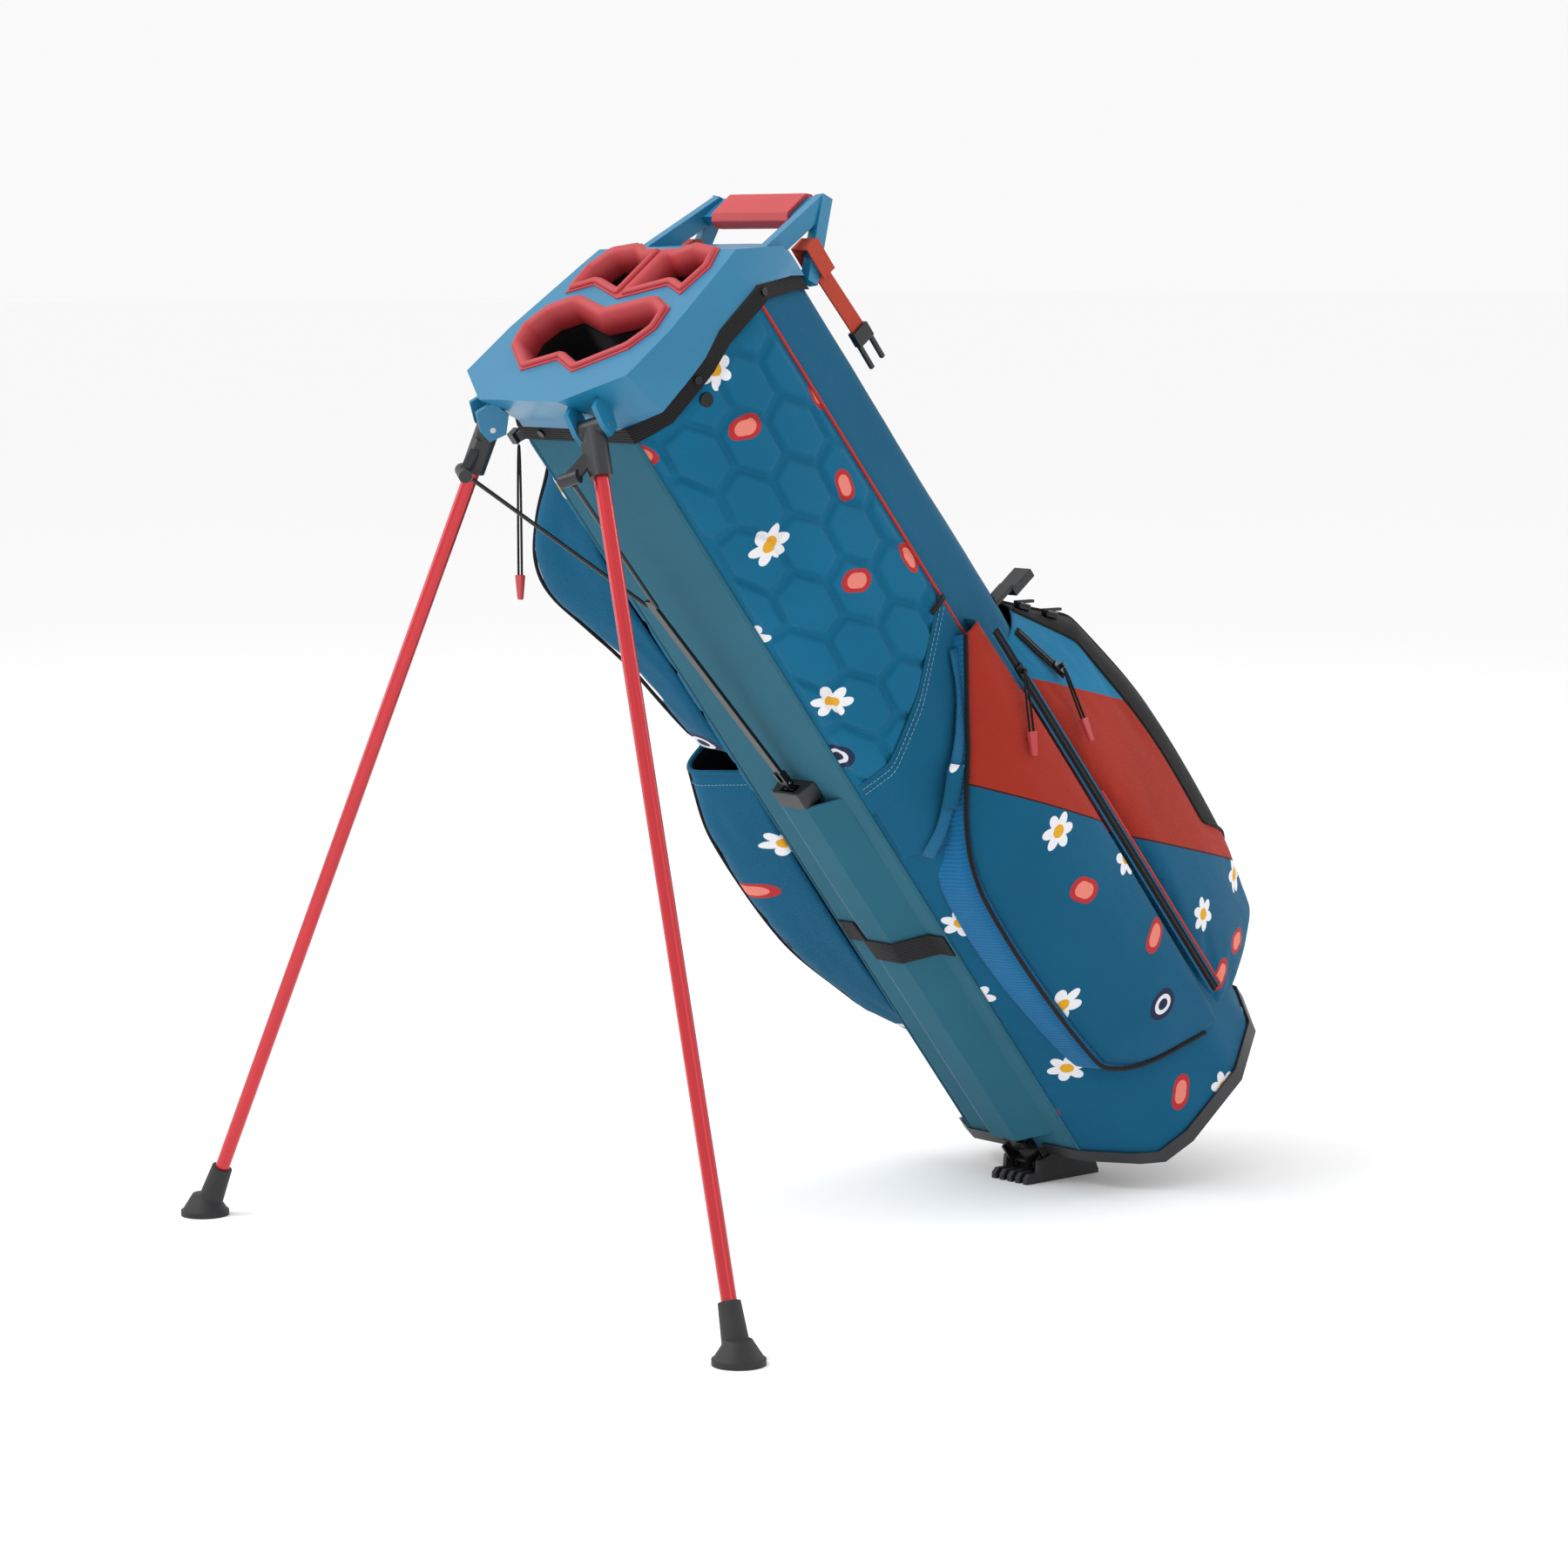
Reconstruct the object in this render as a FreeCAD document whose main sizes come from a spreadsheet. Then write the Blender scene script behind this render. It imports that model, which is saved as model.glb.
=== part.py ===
import FreeCAD, Part
import Sketcher
import math
import os
from FreeCAD import Placement, Rotation, Vector

# Golf stand bag, standing on its two legs and its hinged base foot.
# Millimetres. +X is the bag's right side, -Y is the leg side, +Z is up.
# The origin is the middle of the base foot's sole, on the ground.
#
# Most pieces are drawn in the bag's own frame and then leaned over:
#   x  across the bag,
#   y  from the leg side (minus) to the ball pocket side (plus),
#   z  along the bag, from the underside of the base to the collar.

doc = FreeCAD.newDocument("golf_stand_bag")
sheet = doc.addObject("Spreadsheet::Sheet", "dim")

DIMENSIONS = [
    ("lean_angle", 37.8),       # bag axis from the vertical, legs open
    ("seat_back", 100.0),       # where the bag's own origin stands
    ("seat_up", 85.0),
    ("panel_top", 838.0),       # top edge of the fabric panels
    ("panel_split", 430.0),     # seam between upper and lower side panels
    ("panel_thick", 3.0),
    ("spine_half", 68.0),
    ("spine_front", 134.6),
    ("collar_low", 842.0),
    ("collar_high", 885.0),
    ("collar_wall", 5.0),
    ("deck_under", 870.0),
    ("trim_high", 886.5),
    ("trim_low", 858.0),
    ("trim_wall", 6.5),
    ("rail_wide", 9.0),
    ("rail_deep", 15.0),
    ("grip_half", 47.0),
    ("grip_deep", 34.0),
    ("grip_thick", 17.0),
    ("bar_deep", 24.0),
    ("bar_thick", 9.0),
    ("cup_wall", 2.4),
    ("cup_gap", 0.3),
    ("bevel_level", 25.0),      # the bevel under the base is level with the ground
    ("pivot_side", 66.0),       # leg pivot, in the bag's frame
    ("pivot_front", 160.0),
    ("pivot_up", 855.0),
    ("foot_side", 346.0),       # where the leg meets the ground
    ("foot_front", 645.0),
    ("fold_in", 6.0),           # the folded leg's drift over its own length
    ("fold_back", 2.0),
    ("fold_run", 725.0),
    ("leg_radius", 6.0),
    ("leg_bore", 5.1),
    ("pin_radius", 2.5),
    ("pin_running", 0.06),
    ("barrel_radius", 8.5),
    ("barrel_half", 10.0),
    ("socket_radius", 9.5),
    ("socket_low", 40.0),
    ("socket_seat", 14.0),
    ("ear_thick", 4.0),
    ("ear_gap", 0.4),
    ("knob_side", 19.9),        # lever knob, in the leg's frame
    ("knob_fore", 12.7),
    ("knob_down", 38.0),
    ("knob_radius", 5.5),
    ("knob_half", 8.0),
    ("wire_radius", 1.7),
    ("wire_short", 8.2),        # the wire's eye stays this far from the knob's centre
    ("apex_front", 162.6),
    ("apex_up", 678.7),
    ("rod_front", 145.0),
    ("rod_hinge", 468.0),
    ("rod_wide", 12.0),
    ("rod_thick", 4.0),
    ("strip_wide", 8.0),
    ("strip_thick", 3.0),
    ("guide_low", 446.0),
    ("guide_high", 462.0),
    ("shoe_pin_front", 98.0),   # base foot's hinge pin, in the bag's frame
    ("shoe_pin_up", 12.0),
    ("shoe_half", 22.0),
    ("shoe_toe", 50.0),         # toe and heel of the base foot, in front and behind
    ("shoe_heel", 36.0),
    ("link_up", 24.5),          # toe link pin, height along the bag
    ("link_half", 12.5),
    ("link_slot", 13.0),
    ("guide_half", 22.0),
    ("guide_slot", 9.0),
    ("cover_low", 58.0),
    ("cover_half", 46.0),
    ("cover_crest", 15.0),
    ("cover_skin", 2.0),
    ("strap_low", 272.0),
    ("strap_wide", 22.0),
    ("strap_thick", 1.8),
    ("strap_half", 66.0),
    ("binding_wide", 14.0),
    ("binding_thick", 3.2),
    ("soft_gap", 0.6),          # soft pockets stand this far off the body
    ("cord_thick", 2.0),
    ("cord_loop", 4.4),         # between the two strands of a pull
]

for row, (name, value) in enumerate(DIMENSIONS, start=1):
    sheet.set("A%d" % row, name)
    sheet.set("B%d" % row, str(value))
    sheet.setAlias("B%d" % row, name)
doc.recompute()


def dim(name):
    """A driving dimension, read from the sheet."""
    return float(sheet.get(name))


def value_of(expression):
    """The present value of a sheet expression."""
    return float(sheet.evalExpression(expression.replace("dim.", "")))


LEAN = Placement(
    Vector(0, dim("seat_back"), dim("seat_up")),
    Rotation(Vector(1, 0, 0), dim("lean_angle")),
)
UPRIGHT = Placement()

pieces = []


# ---------------------------------------------------------------- helpers

def keep(obj, label, placement=None):
    """Name a finished sub-part and put it in its place."""
    obj.Label = label
    if placement is not None:
        obj.Placement = placement
    pieces.append(obj)
    return obj


def shape_piece(label, shape, placement=LEAN):
    """A sub-part whose shape comes from Part's own functions."""
    obj = doc.addObject("Part::Feature", label)
    obj.Shape = shape
    return keep(obj, label, placement)


def mirror_piece(label, source):
    """The left-hand twin of a right-hand sub-part."""
    obj = doc.addObject("Part::Mirroring", label)
    obj.Source = source
    obj.Normal = Vector(1, 0, 0)
    obj.Base = Vector(0, 0, 0)
    obj.Label = label
    pieces.append(obj)
    return obj


def primitive(kind, name, placement=None, **sizes):
    """A Part primitive with its sizes bound to the sheet."""
    obj = doc.addObject("Part::" + kind, name)
    for prop, expression in sizes.items():
        obj.setExpression(prop, expression)
    if placement is not None:
        obj.Placement = placement
    return obj


def boolean(kind, name, base, tool):
    """Base cut by, or shared with, a tool."""
    obj = doc.addObject("Part::" + kind, name)
    obj.Base = base
    obj.Tool = tool
    return obj


def sketch_outline(body, name, outline):
    """A closed sketch on the body's XY plane whose corners are bound to the sheet."""
    sketch = body.newObject("Sketcher::SketchObject", name)
    plane = [f for f in body.Origin.OriginFeatures if f.Role == "XY_Plane"][0]
    sketch.AttachmentSupport = (plane, "")
    sketch.MapMode = "FlatFace"
    spots = [Vector(value_of(x), value_of(y), 0) for x, y in outline]
    count = len(spots)
    for i in range(count):
        sketch.addGeometry(Part.LineSegment(spots[i], spots[(i + 1) % count]), False)
    for i in range(count):
        sketch.addConstraint(Sketcher.Constraint("Coincident", i, 2, (i + 1) % count, 1))
    for i, (x, y) in enumerate(outline):
        across = sketch.addConstraint(Sketcher.Constraint("DistanceX", -1, 1, i, 1, spots[i].x))
        sketch.setExpression("Constraints[%d]" % across, x)
        upward = sketch.addConstraint(Sketcher.Constraint("DistanceY", -1, 1, i, 1, spots[i].y))
        sketch.setExpression("Constraints[%d]" % upward, y)
    return sketch


def pad_sketch(body, name, outline, length):
    """Pad an outline upward from the body's XY plane."""
    pad = body.newObject("PartDesign::Pad", name + "_pad")
    pad.Profile = sketch_outline(body, name + "_sketch", outline)
    pad.setExpression("Length", length)
    doc.recompute()


def pocket_sketch(body, name, outline):
    """Cut an outline right through the body, along Z."""
    sketch = sketch_outline(body, name + "_sketch", outline)
    before = body.Shape.Volume
    pocket = body.newObject("PartDesign::Pocket", name + "_pocket")
    pocket.Profile = sketch
    pocket.Type = "ThroughAll"
    pocket.Midplane = True
    doc.recompute()
    if body.Shape.Volume > before - 1.0:
        raise RuntimeError(name + " cut nothing")


def rectangle(half_x, half_y):
    """Corner expressions of a centred rectangle."""
    return [
        ("-(%s)" % half_x, "-(%s)" % half_y),
        (half_x, "-(%s)" % half_y),
        (half_x, half_y),
        ("-(%s)" % half_x, half_y),
    ]


def at_height(height):
    """The bag's frame, moved up along the bag."""
    return LEAN.multiply(Placement(Vector(0, 0, height), Rotation()))


def mirror_shape(shape):
    return shape.mirror(Vector(0, 0, 0), Vector(1, 0, 0))


def polygon(points):
    """A closed wire through points."""
    return Part.makePolygon(points + [points[0]])


def level(points, height):
    """Pairs of x, y lifted to one height."""
    return [Vector(x, y, height) for x, y in points]


def prism(points, vector):
    """A solid swept from a flat polygon."""
    return Part.Face(polygon(points)).extrude(vector)


def loft(*sections):
    """A ruled solid through sections that have the same number of points."""
    return Part.makeLoft([polygon(points) for points in sections], True, True)


def block(low, high):
    """A box between two corners."""
    size = [b - a for a, b in zip(low, high)]
    return Part.makeBox(size[0], size[1], size[2], Vector(*low))


def rod(start, end, radius):
    """A round bar between two points."""
    along = end - start
    return Part.makeCylinder(radius, along.Length, start, along)


def bar(start, end, wide, deep, flat=Vector(0, 0, 1)):
    """A rectangular bar between two points, deep in the flat direction."""
    along = end - start
    side = along.cross(flat).normalize() * (wide / 2.0)
    tall = side.cross(along).normalize() * (deep / 2.0)
    corners = [start + side + tall, start - side + tall, start - side - tall, start + side - tall]
    return prism(corners, along)


def mirrored(points):
    """The left half of an outline, in reverse order."""
    return [(-x, y) for x, y in reversed(points) if x > 0.001]


def blend(low, high, share):
    """Points part of the way from one outline to another."""
    return [
        (a[0] + (b[0] - a[0]) * share, a[1] + (b[1] - a[1]) * share)
        for a, b in zip(low, high)
    ]


def grown(points, distance):
    """A closed counter-clockwise outline with every side moved outward."""
    result = []
    count = len(points)
    for i in range(count):
        before, here, after = points[i - 1], points[i], points[(i + 1) % count]
        first = math.hypot(here[0] - before[0], here[1] - before[1])
        second = math.hypot(after[0] - here[0], after[1] - here[1])
        n1 = ((here[1] - before[1]) / first, (before[0] - here[0]) / first)
        n2 = ((after[1] - here[1]) / second, (here[0] - after[0]) / second)
        scale = distance / (1.0 + n1[0] * n2[0] + n1[1] * n2[1])
        result.append((here[0] + (n1[0] + n2[0]) * scale, here[1] + (n1[1] + n2[1]) * scale))
    return result


# ------------------------------------------------------------- body outline

HALF_AT_BASE = [
    (dim("spine_half"), -dim("spine_front")),
    (108.0, -114.0),
    (126.0, -70.0),
    (126.0, 4.0),
    (101.0, 58.0),
    (58.0, 94.0),
    (0.0, 104.0),
]
HALF_AT_COLLAR = [
    (dim("spine_half"), -dim("spine_front")),
    (94.0, -114.0),
    (104.0, -66.0),
    (100.0, 8.0),
    (84.0, 60.0),
    (48.0, 82.0),
    (0.0, 88.0),
]
SPINE_CORNER = 0
PIPING_CORNER = 3
LAST_CORNER = 12

# Lower edge of the collar seen from the side: y, z. It is high on the flanks
# and drops at the back.
COLLAR_EDGE = [
    (-220.0, 832.0),
    (-134.0, 836.0),
    (-84.0, 846.0),
    (-40.0, 856.0),
    (14.0, 857.0),
    (50.0, 838.0),
    (96.0, 803.0),
    (220.0, 770.0),
]


def whole(half):
    """Both halves of an outline that is drawn for the right side."""
    return half + mirrored(half)


def body_outline(height, grow=0.0):
    """The bag's cross-section at a height, as one closed loop."""
    half = blend(HALF_AT_BASE, HALF_AT_COLLAR, height / dim("panel_top"))
    return grown(whole(half), grow)


def body_core(low, high, grow):
    """The bag's whole body between two heights, grown sideways."""
    return loft(level(body_outline(low, grow), low), level(body_outline(high, grow), high))


def body_strip(first, last, low, high, thick):
    """A fabric panel between two corners of the outline."""
    sections = []
    for height in (low, high):
        outer = body_outline(height)[first:last + 1]
        inner = body_outline(height, -thick)[first:last + 1]
        sections.append(level(outer + list(reversed(inner)), height))
    return loft(*sections)


def edge_height(y):
    """Height of the collar's lower edge at one y."""
    for a, b in zip(COLLAR_EDGE, COLLAR_EDGE[1:]):
        if a[0] <= y <= b[0]:
            return a[1] + (b[1] - a[1]) * (y - a[0]) / (b[0] - a[0])
    raise ValueError(y)


def above_edge(offset=0.0):
    """Everything above the collar's lower edge."""
    profile = [Vector(-200, y, z + offset) for y, z in COLLAR_EDGE]
    corners = [Vector(-200, COLLAR_EDGE[-1][0], 1000), Vector(-200, COLLAR_EDGE[0][0], 1000)]
    return prism(profile + corners, Vector(400, 0, 0))


def above_ground(height):
    """Everything above a level plane, in the bag's frame."""
    box = Part.makeBox(600, 600, 600, Vector(-300, -300, height))
    box.Placement = LEAN.inverse().multiply(box.Placement)
    return box


# ------------------------------------------------------------------ collar

COLLAR_FOOT = [
    (60.0, -139.0),
    (98.0, -119.0),
    (109.0, -66.0),
    (105.0, 10.0),
    (88.0, 64.0),
    (50.0, 88.0),
    (0.0, 94.0),
]
COLLAR_RIM = [
    (50.0, -165.0),
    (101.0, -131.0),
    (101.0, -76.0),
    (89.0, 4.0),
    (79.0, 58.0),
    (46.0, 86.0),
    (0.0, 90.0),
]
COLLAR_SKIRT = 780.0
FRONT_WELL = [
    (0.0, -116.0),
    (32.0, -130.0),
    (74.0, -101.0),
    (84.0, -76.0),
    (76.0, -50.0),
    (48.0, -36.0),
    (0.0, -52.0),
]
REAR_WELLS = [
    (0.0, -40.0),
    (46.0, -23.0),
    (72.0, -34.0),
    (77.0, 0.0),
    (66.0, 24.0),
    (36.0, 30.0),
    (20.0, 22.0),
    (0.0, 22.0),
]
HANDLE_CORNER = (63.0, 131.0, 847.0)
RAIL_START = (96.0, -104.0, 876.0)
STRUT_FOOT = (76.0, 72.0, 813.0)
CROSS_BAR_Y = HANDLE_CORNER[1] - dim("bar_deep") / 2.0 + 2.0


def collar_outline(height, grow=0.0):
    """The collar's outline: upright below its foot, leaning out towards its rim."""
    share = (height - dim("collar_low")) / (dim("collar_high") - dim("collar_low"))
    half = blend(COLLAR_FOOT, COLLAR_RIM, max(share, 0.0))
    return grown(whole(half), grow)


def collar_block(top, grow):
    """The collar's solid body up to a height, before it is hollowed."""
    low = dim("collar_low")
    return loft(
        level(collar_outline(COLLAR_SKIRT, grow), COLLAR_SKIRT),
        level(collar_outline(low, grow), low),
        level(collar_outline(top, grow), top),
    )


def rear_slope(start, drop_per_mm, top):
    """What lies above the sloping rear deck."""
    run = 120.0
    profile = [
        Vector(-150, start, top),
        Vector(-150, start + run, top - run * drop_per_mm),
        Vector(-150, start + run, top + 200),
        Vector(-150, start, top + 200),
    ]
    return prism(profile, Vector(300, 0, 0))


def leg_axes():
    """Leg pivot, leg direction, hinge axis, folding direction and leg length."""
    pivot = Vector(dim("pivot_side"), -dim("pivot_front"), dim("pivot_up"))
    ground = Vector(dim("foot_side"), -dim("foot_front"), 0)
    down = LEAN.inverse().multVec(ground) - pivot
    length = down.Length
    down.normalize()
    folded = Vector(-dim("fold_in"), dim("fold_back"), -dim("fold_run")).normalize()
    axis = down.cross(folded).normalize()
    swing = axis.cross(down).normalize()
    return pivot, down, axis, swing, length


PIVOT, LEG_DOWN, HINGE_AXIS, LEG_SWING, LEG_LENGTH = leg_axes()
LEG_FRAME = LEAN.multiply(
    Placement(PIVOT, Rotation(HINGE_AXIS, LEG_SWING, LEG_DOWN * -1, "ZXY"))
)


def pivot_ears():
    """Two ears under the collar's lip that hold one leg's hinge pin."""
    inner = dim("barrel_half") + dim("ear_gap")
    top = Vector(0, 0, 1)
    back = top.cross(HINGE_AXIS).normalize()
    profile = [(-7, -7), (7, -9), (17, 4), (12, 20), (-4, 20), (-9, 4)]
    ears = []
    for side in (-1, 1):
        start = PIVOT + HINGE_AXIS * (side * inner)
        outline = [start + back * along + top * up for along, up in profile]
        ears.append(prism(outline, HINGE_AXIS * (side * dim("ear_thick"))))
    reach = HINGE_AXIS * (inner + dim("ear_thick") + 2)
    return ears[0].fuse(ears[1]).cut(rod(PIVOT - reach, PIVOT + reach, dim("pin_radius")))


def handle_frame():
    """Two side rails, two rear struts and the bar inside the grip."""
    wide, deep = dim("rail_wide"), dim("rail_deep")
    arms = []
    for side in (1, -1):
        start = Vector(side * RAIL_START[0], RAIL_START[1], RAIL_START[2])
        corner = Vector(side * HANDLE_CORNER[0], HANDLE_CORNER[1], HANDLE_CORNER[2])
        foot = Vector(side * STRUT_FOOT[0], STRUT_FOOT[1], STRUT_FOOT[2])
        arms.append(bar(start, corner, wide, deep))
        arms.append(bar(corner + Vector(0, 4, 3), foot, wide, deep - 3))
    half_deep, half_thick = dim("bar_deep") / 2.0, dim("bar_thick") / 2.0
    cross = block(
        (-HANDLE_CORNER[0], CROSS_BAR_Y - half_deep, HANDLE_CORNER[2] - half_thick),
        (HANDLE_CORNER[0], CROSS_BAR_Y + half_deep, HANDLE_CORNER[2] + half_thick),
    )
    return cross.multiFuse(arms)


def make_collar():
    """Moulded collar: rim, sloping rear deck, three wells, handle and pivot ears."""
    high, under = dim("collar_high"), dim("deck_under")
    void = collar_block(under, -dim("collar_wall")).cut(rear_slope(22, 0.6, under))
    shell = collar_block(high, 0.0).cut(void).cut(rear_slope(22, 0.7, high + 1))
    for well in (FRONT_WELL, REAR_WELLS):
        shell = shell.cut(prism(level(whole(well), COLLAR_SKIRT), Vector(0, 0, 150)))
    frame = handle_frame()
    shell = shell.common(above_edge()).fuse(frame.cut(collar_block(under, -1.0).common(void)))
    ears = pivot_ears()
    shell = shell.multiFuse([ears, mirror_shape(ears)])
    shape_piece("top_collar", shell.removeSplitter())


def make_well_trim():
    """Padded trim round the front well, and round the pair of rear wells."""
    wall = -dim("trim_wall")
    low, high = dim("trim_low"), dim("trim_high")
    lift = Vector(0, 0, high - low)
    front = prism(level(whole(FRONT_WELL), low), lift)
    mouth = prism(level(grown(whole(FRONT_WELL), wall), low - 1), lift * 2)
    shape_piece("front_well_trim", front.cut(mouth))
    rear = prism(level(whole(REAR_WELLS), low), lift)
    mouths = prism(level(grown(whole(REAR_WELLS), wall), low - 1), lift * 2)
    bridge_half = -wall * 0.8
    bridge = block((-bridge_half, -60, low - 2), (bridge_half, 60, high + 60))
    shape_piece("rear_wells_trim", rear.cut(mouths.cut(bridge)))


def make_handle_grip():
    """Soft grip moulded round the handle's cross bar."""
    body = doc.addObject("PartDesign::Body", "handle_grip")
    bevel = 5.0
    side = "dim.grip_deep / 2"
    top = "dim.grip_thick / 2"
    outline = [
        ("-%s" % side, "-(%s - %g)" % (top, bevel)),
        ("-(%s - %g)" % (side, bevel), "-%s" % top),
        ("%s - %g" % (side, bevel), "-%s" % top),
        (side, "-(%s - %g)" % (top, bevel)),
        (side, "%s - %g" % (top, bevel)),
        ("%s - %g" % (side, bevel), top),
        ("-(%s - %g)" % (side, bevel), top),
        ("-%s" % side, "%s - %g" % (top, bevel)),
    ]
    pad_sketch(body, "grip", outline, "2 * dim.grip_half")
    core = rectangle("dim.bar_deep / 2", "dim.bar_thick / 2")
    pocket_sketch(body, "grip_core", core)
    start = Vector(-dim("grip_half"), CROSS_BAR_Y, HANDLE_CORNER[2])
    along = Rotation(Vector(0, 1, 0), Vector(0, 0, 1), Vector(1, 0, 0), "ZXY")
    keep(body, "handle_grip", LEAN.multiply(Placement(start, along)))


# ---------------------------------------------------------------- fabric body

SCREW_SPOTS = [
    (1, 0.70), (3, 0.10), (5, 0.60), (6, 0.40), (8, 0.90), (10, 0.30), (12, 0.19),
]
SCREW_SHANK = 1.6
SCREW_HEAD = 3.4


def screw_places():
    """Centre on the binding, and outward direction, of each collar screw."""
    for corner, share in SCREW_SPOTS:
        height = dim("panel_top")
        for _ in range(3):
            outline = body_outline(height)
            a, b = outline[corner], outline[(corner + 1) % len(outline)]
            x, y = blend([a], [b], share)[0]
            height = edge_height(y) - dim("binding_wide") / 2.0
        side = math.hypot(b[0] - a[0], b[1] - a[1])
        outward = Vector((b[1] - a[1]) / side, (a[0] - b[0]) / side, 0)
        yield Vector(x, y, height), outward


def screw_shanks():
    """The holes of the collar screws."""
    return Part.makeCompound([
        rod(spot - outward * 5, spot + outward * 5, SCREW_SHANK)
        for spot, outward in screw_places()
    ])


def make_binding():
    """Band that covers the top edge of the fabric, and the screws through it."""
    low, high = COLLAR_SKIRT, 875.0
    band = body_core(low, high, dim("binding_thick")).cut(body_core(low - 1, high + 1, 0.02))
    band = band.common(above_edge(-dim("binding_wide"))).cut(above_edge())
    shape_piece("collar_binding", band.cut(screw_shanks().fuse(handle_frame())))
    face = dim("binding_thick") + 0.2
    screws = []
    for spot, outward in screw_places():
        shank = rod(spot - outward * 4, spot + outward * face, SCREW_SHANK)
        head = rod(spot + outward * face, spot + outward * (face + 1.7), SCREW_HEAD)
        screws.append(shank.fuse(head))
    shape_piece("collar_screws", Part.makeCompound(screws))


def make_panels():
    """The sewn panels of the bag's body."""
    thick = dim("panel_thick")
    top, split = 875.0, dim("panel_split")
    foot = 6.0
    trim = screw_shanks().fuse(above_edge())
    names = [
        ("right_quilted_panel", SPINE_CORNER, PIPING_CORNER),
        ("rear_panel", PIPING_CORNER, LAST_CORNER - PIPING_CORNER),
        ("left_quilted_panel", LAST_CORNER - PIPING_CORNER, LAST_CORNER),
    ]
    for name, first, last in names:
        shape_piece(name, body_strip(first, last, split, top, thick).cut(trim))
    bevel = above_ground(dim("bevel_level") + 3.4)
    lower = body_strip(SPINE_CORNER, LAST_CORNER, foot, split, thick)
    shape_piece("lower_body_panel", lower.common(bevel))
    half, front = dim("spine_half") - 1.0, -dim("spine_front")
    spine = block((-half, front, foot), (half, front + 2, top))
    shape_piece("spine_panel", spine.cut(trim).common(bevel))


def make_board():
    """Stiff board sewn in behind the spine panel."""
    board = primitive("Box", "spine_board",
                      Length="2 * (dim.spine_half - 8)",
                      Width="2",
                      Height="dim.panel_top - 62")
    start = Vector(8 - dim("spine_half"), 2 - dim("spine_front"), 50)
    keep(board, "spine_board", LEAN.multiply(Placement(start, Rotation())))


def make_tunnel():
    """Raised cover over the push rod, its guide above, and its strap."""
    crest = "-(dim.rod_front + 6.5)"
    front = "-dim.spine_front"
    cover = doc.addObject("PartDesign::Body", "rod_tunnel_cover")
    outline = [
        ("-dim.cover_half", front),
        ("-dim.cover_crest", crest),
        ("dim.cover_crest", crest),
        ("dim.cover_half", front),
    ]
    pad_sketch(cover, "cover", outline, "dim.guide_low - dim.cover_low")
    hollow = [
        ("-(dim.cover_half - 3 * dim.cover_skin)", "%s + 10" % front),
        ("-(dim.cover_half - 3 * dim.cover_skin)", "%s - 1" % front),
        ("-(dim.cover_crest - dim.cover_skin)", "%s + dim.cover_skin" % crest),
        ("dim.cover_crest - dim.cover_skin", "%s + dim.cover_skin" % crest),
        ("dim.cover_half - 3 * dim.cover_skin", "%s - 1" % front),
        ("dim.cover_half - 3 * dim.cover_skin", "%s + 10" % front),
    ]
    pocket_sketch(cover, "cover_hollow", hollow)
    keep(cover, "rod_tunnel_cover", at_height(dim("cover_low")))
    guide = doc.addObject("PartDesign::Body", "rod_guide")
    outline = [
        ("-dim.guide_half", front),
        ("-(dim.guide_half - 6)", "%s - 1" % crest),
        ("dim.guide_half - 6", "%s - 1" % crest),
        ("dim.guide_half", front),
    ]
    pad_sketch(guide, "guide", outline, "dim.guide_high - dim.guide_low")
    slot = [
        ("-dim.guide_slot", "-(dim.rod_front + 4.5)"),
        ("dim.guide_slot", "-(dim.rod_front + 4.5)"),
        ("dim.guide_slot", "-(dim.rod_front - 4.5)"),
        ("-dim.guide_slot", "-(dim.rod_front - 4.5)"),
    ]
    pocket_sketch(guide, "guide_slot_cut", slot)
    keep(guide, "rod_guide", at_height(dim("guide_low")))
    strap = doc.addObject("PartDesign::Body", "spine_strap")
    knee = "dim.cover_half + 1"
    inner, outer = "%s - 0.4" % front, "%s - 0.4 - dim.strap_thick" % front
    crest_inner, crest_outer = "%s - 0.4" % crest, "%s - 0.4 - dim.strap_thick" % crest
    outline = [
        ("-dim.strap_half", inner),
        ("-(%s)" % knee, inner),
        ("-(dim.cover_crest + 0.5)", crest_inner),
        ("dim.cover_crest + 0.5", crest_inner),
        (knee, inner),
        ("dim.strap_half", inner),
        ("dim.strap_half", outer),
        ("%s + 1" % knee, outer),
        ("dim.cover_crest + 1.2", crest_outer),
        ("-(dim.cover_crest + 1.2)", crest_outer),
        ("-(%s + 1)" % knee, outer),
        ("-dim.strap_half", outer),
    ]
    pad_sketch(strap, "strap", outline, "dim.strap_wide")
    keep(strap, "spine_strap", at_height(dim("strap_low")))


def make_dividers():
    """Full-length cloth dividers between the wells, and two stiffening stays."""
    low, high = 20.0, 856.0
    line = [(-90, -42), (-74, -42), (-47, -29.5), (0, -46), (47, -29.5), (74, -42), (90, -42)]
    sheet_outline = line + [(x, y + 1.5) for x, y in reversed(line)]
    shape_piece("cross_divider", prism(level(sheet_outline, low), Vector(0, 0, high - low)))
    profile = [
        Vector(-0.75, -44.0, low),
        Vector(-0.75, 72.0, low),
        Vector(-0.75, 72.0, 800.0),
        Vector(-0.75, 18.0, high),
        Vector(-0.75, -44.0, high),
    ]
    shape_piece("centre_divider", prism(profile, Vector(1.5, 0, 0)))
    stays = [
        rod(Vector(side * 60, 60, 3.5), Vector(side * 60, 60, 835.0), 4.0)
        for side in (-1, 1)
    ]
    shape_piece("frame_stays", Part.makeCompound(stays))


# -------------------------------------------------------------------- base

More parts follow.
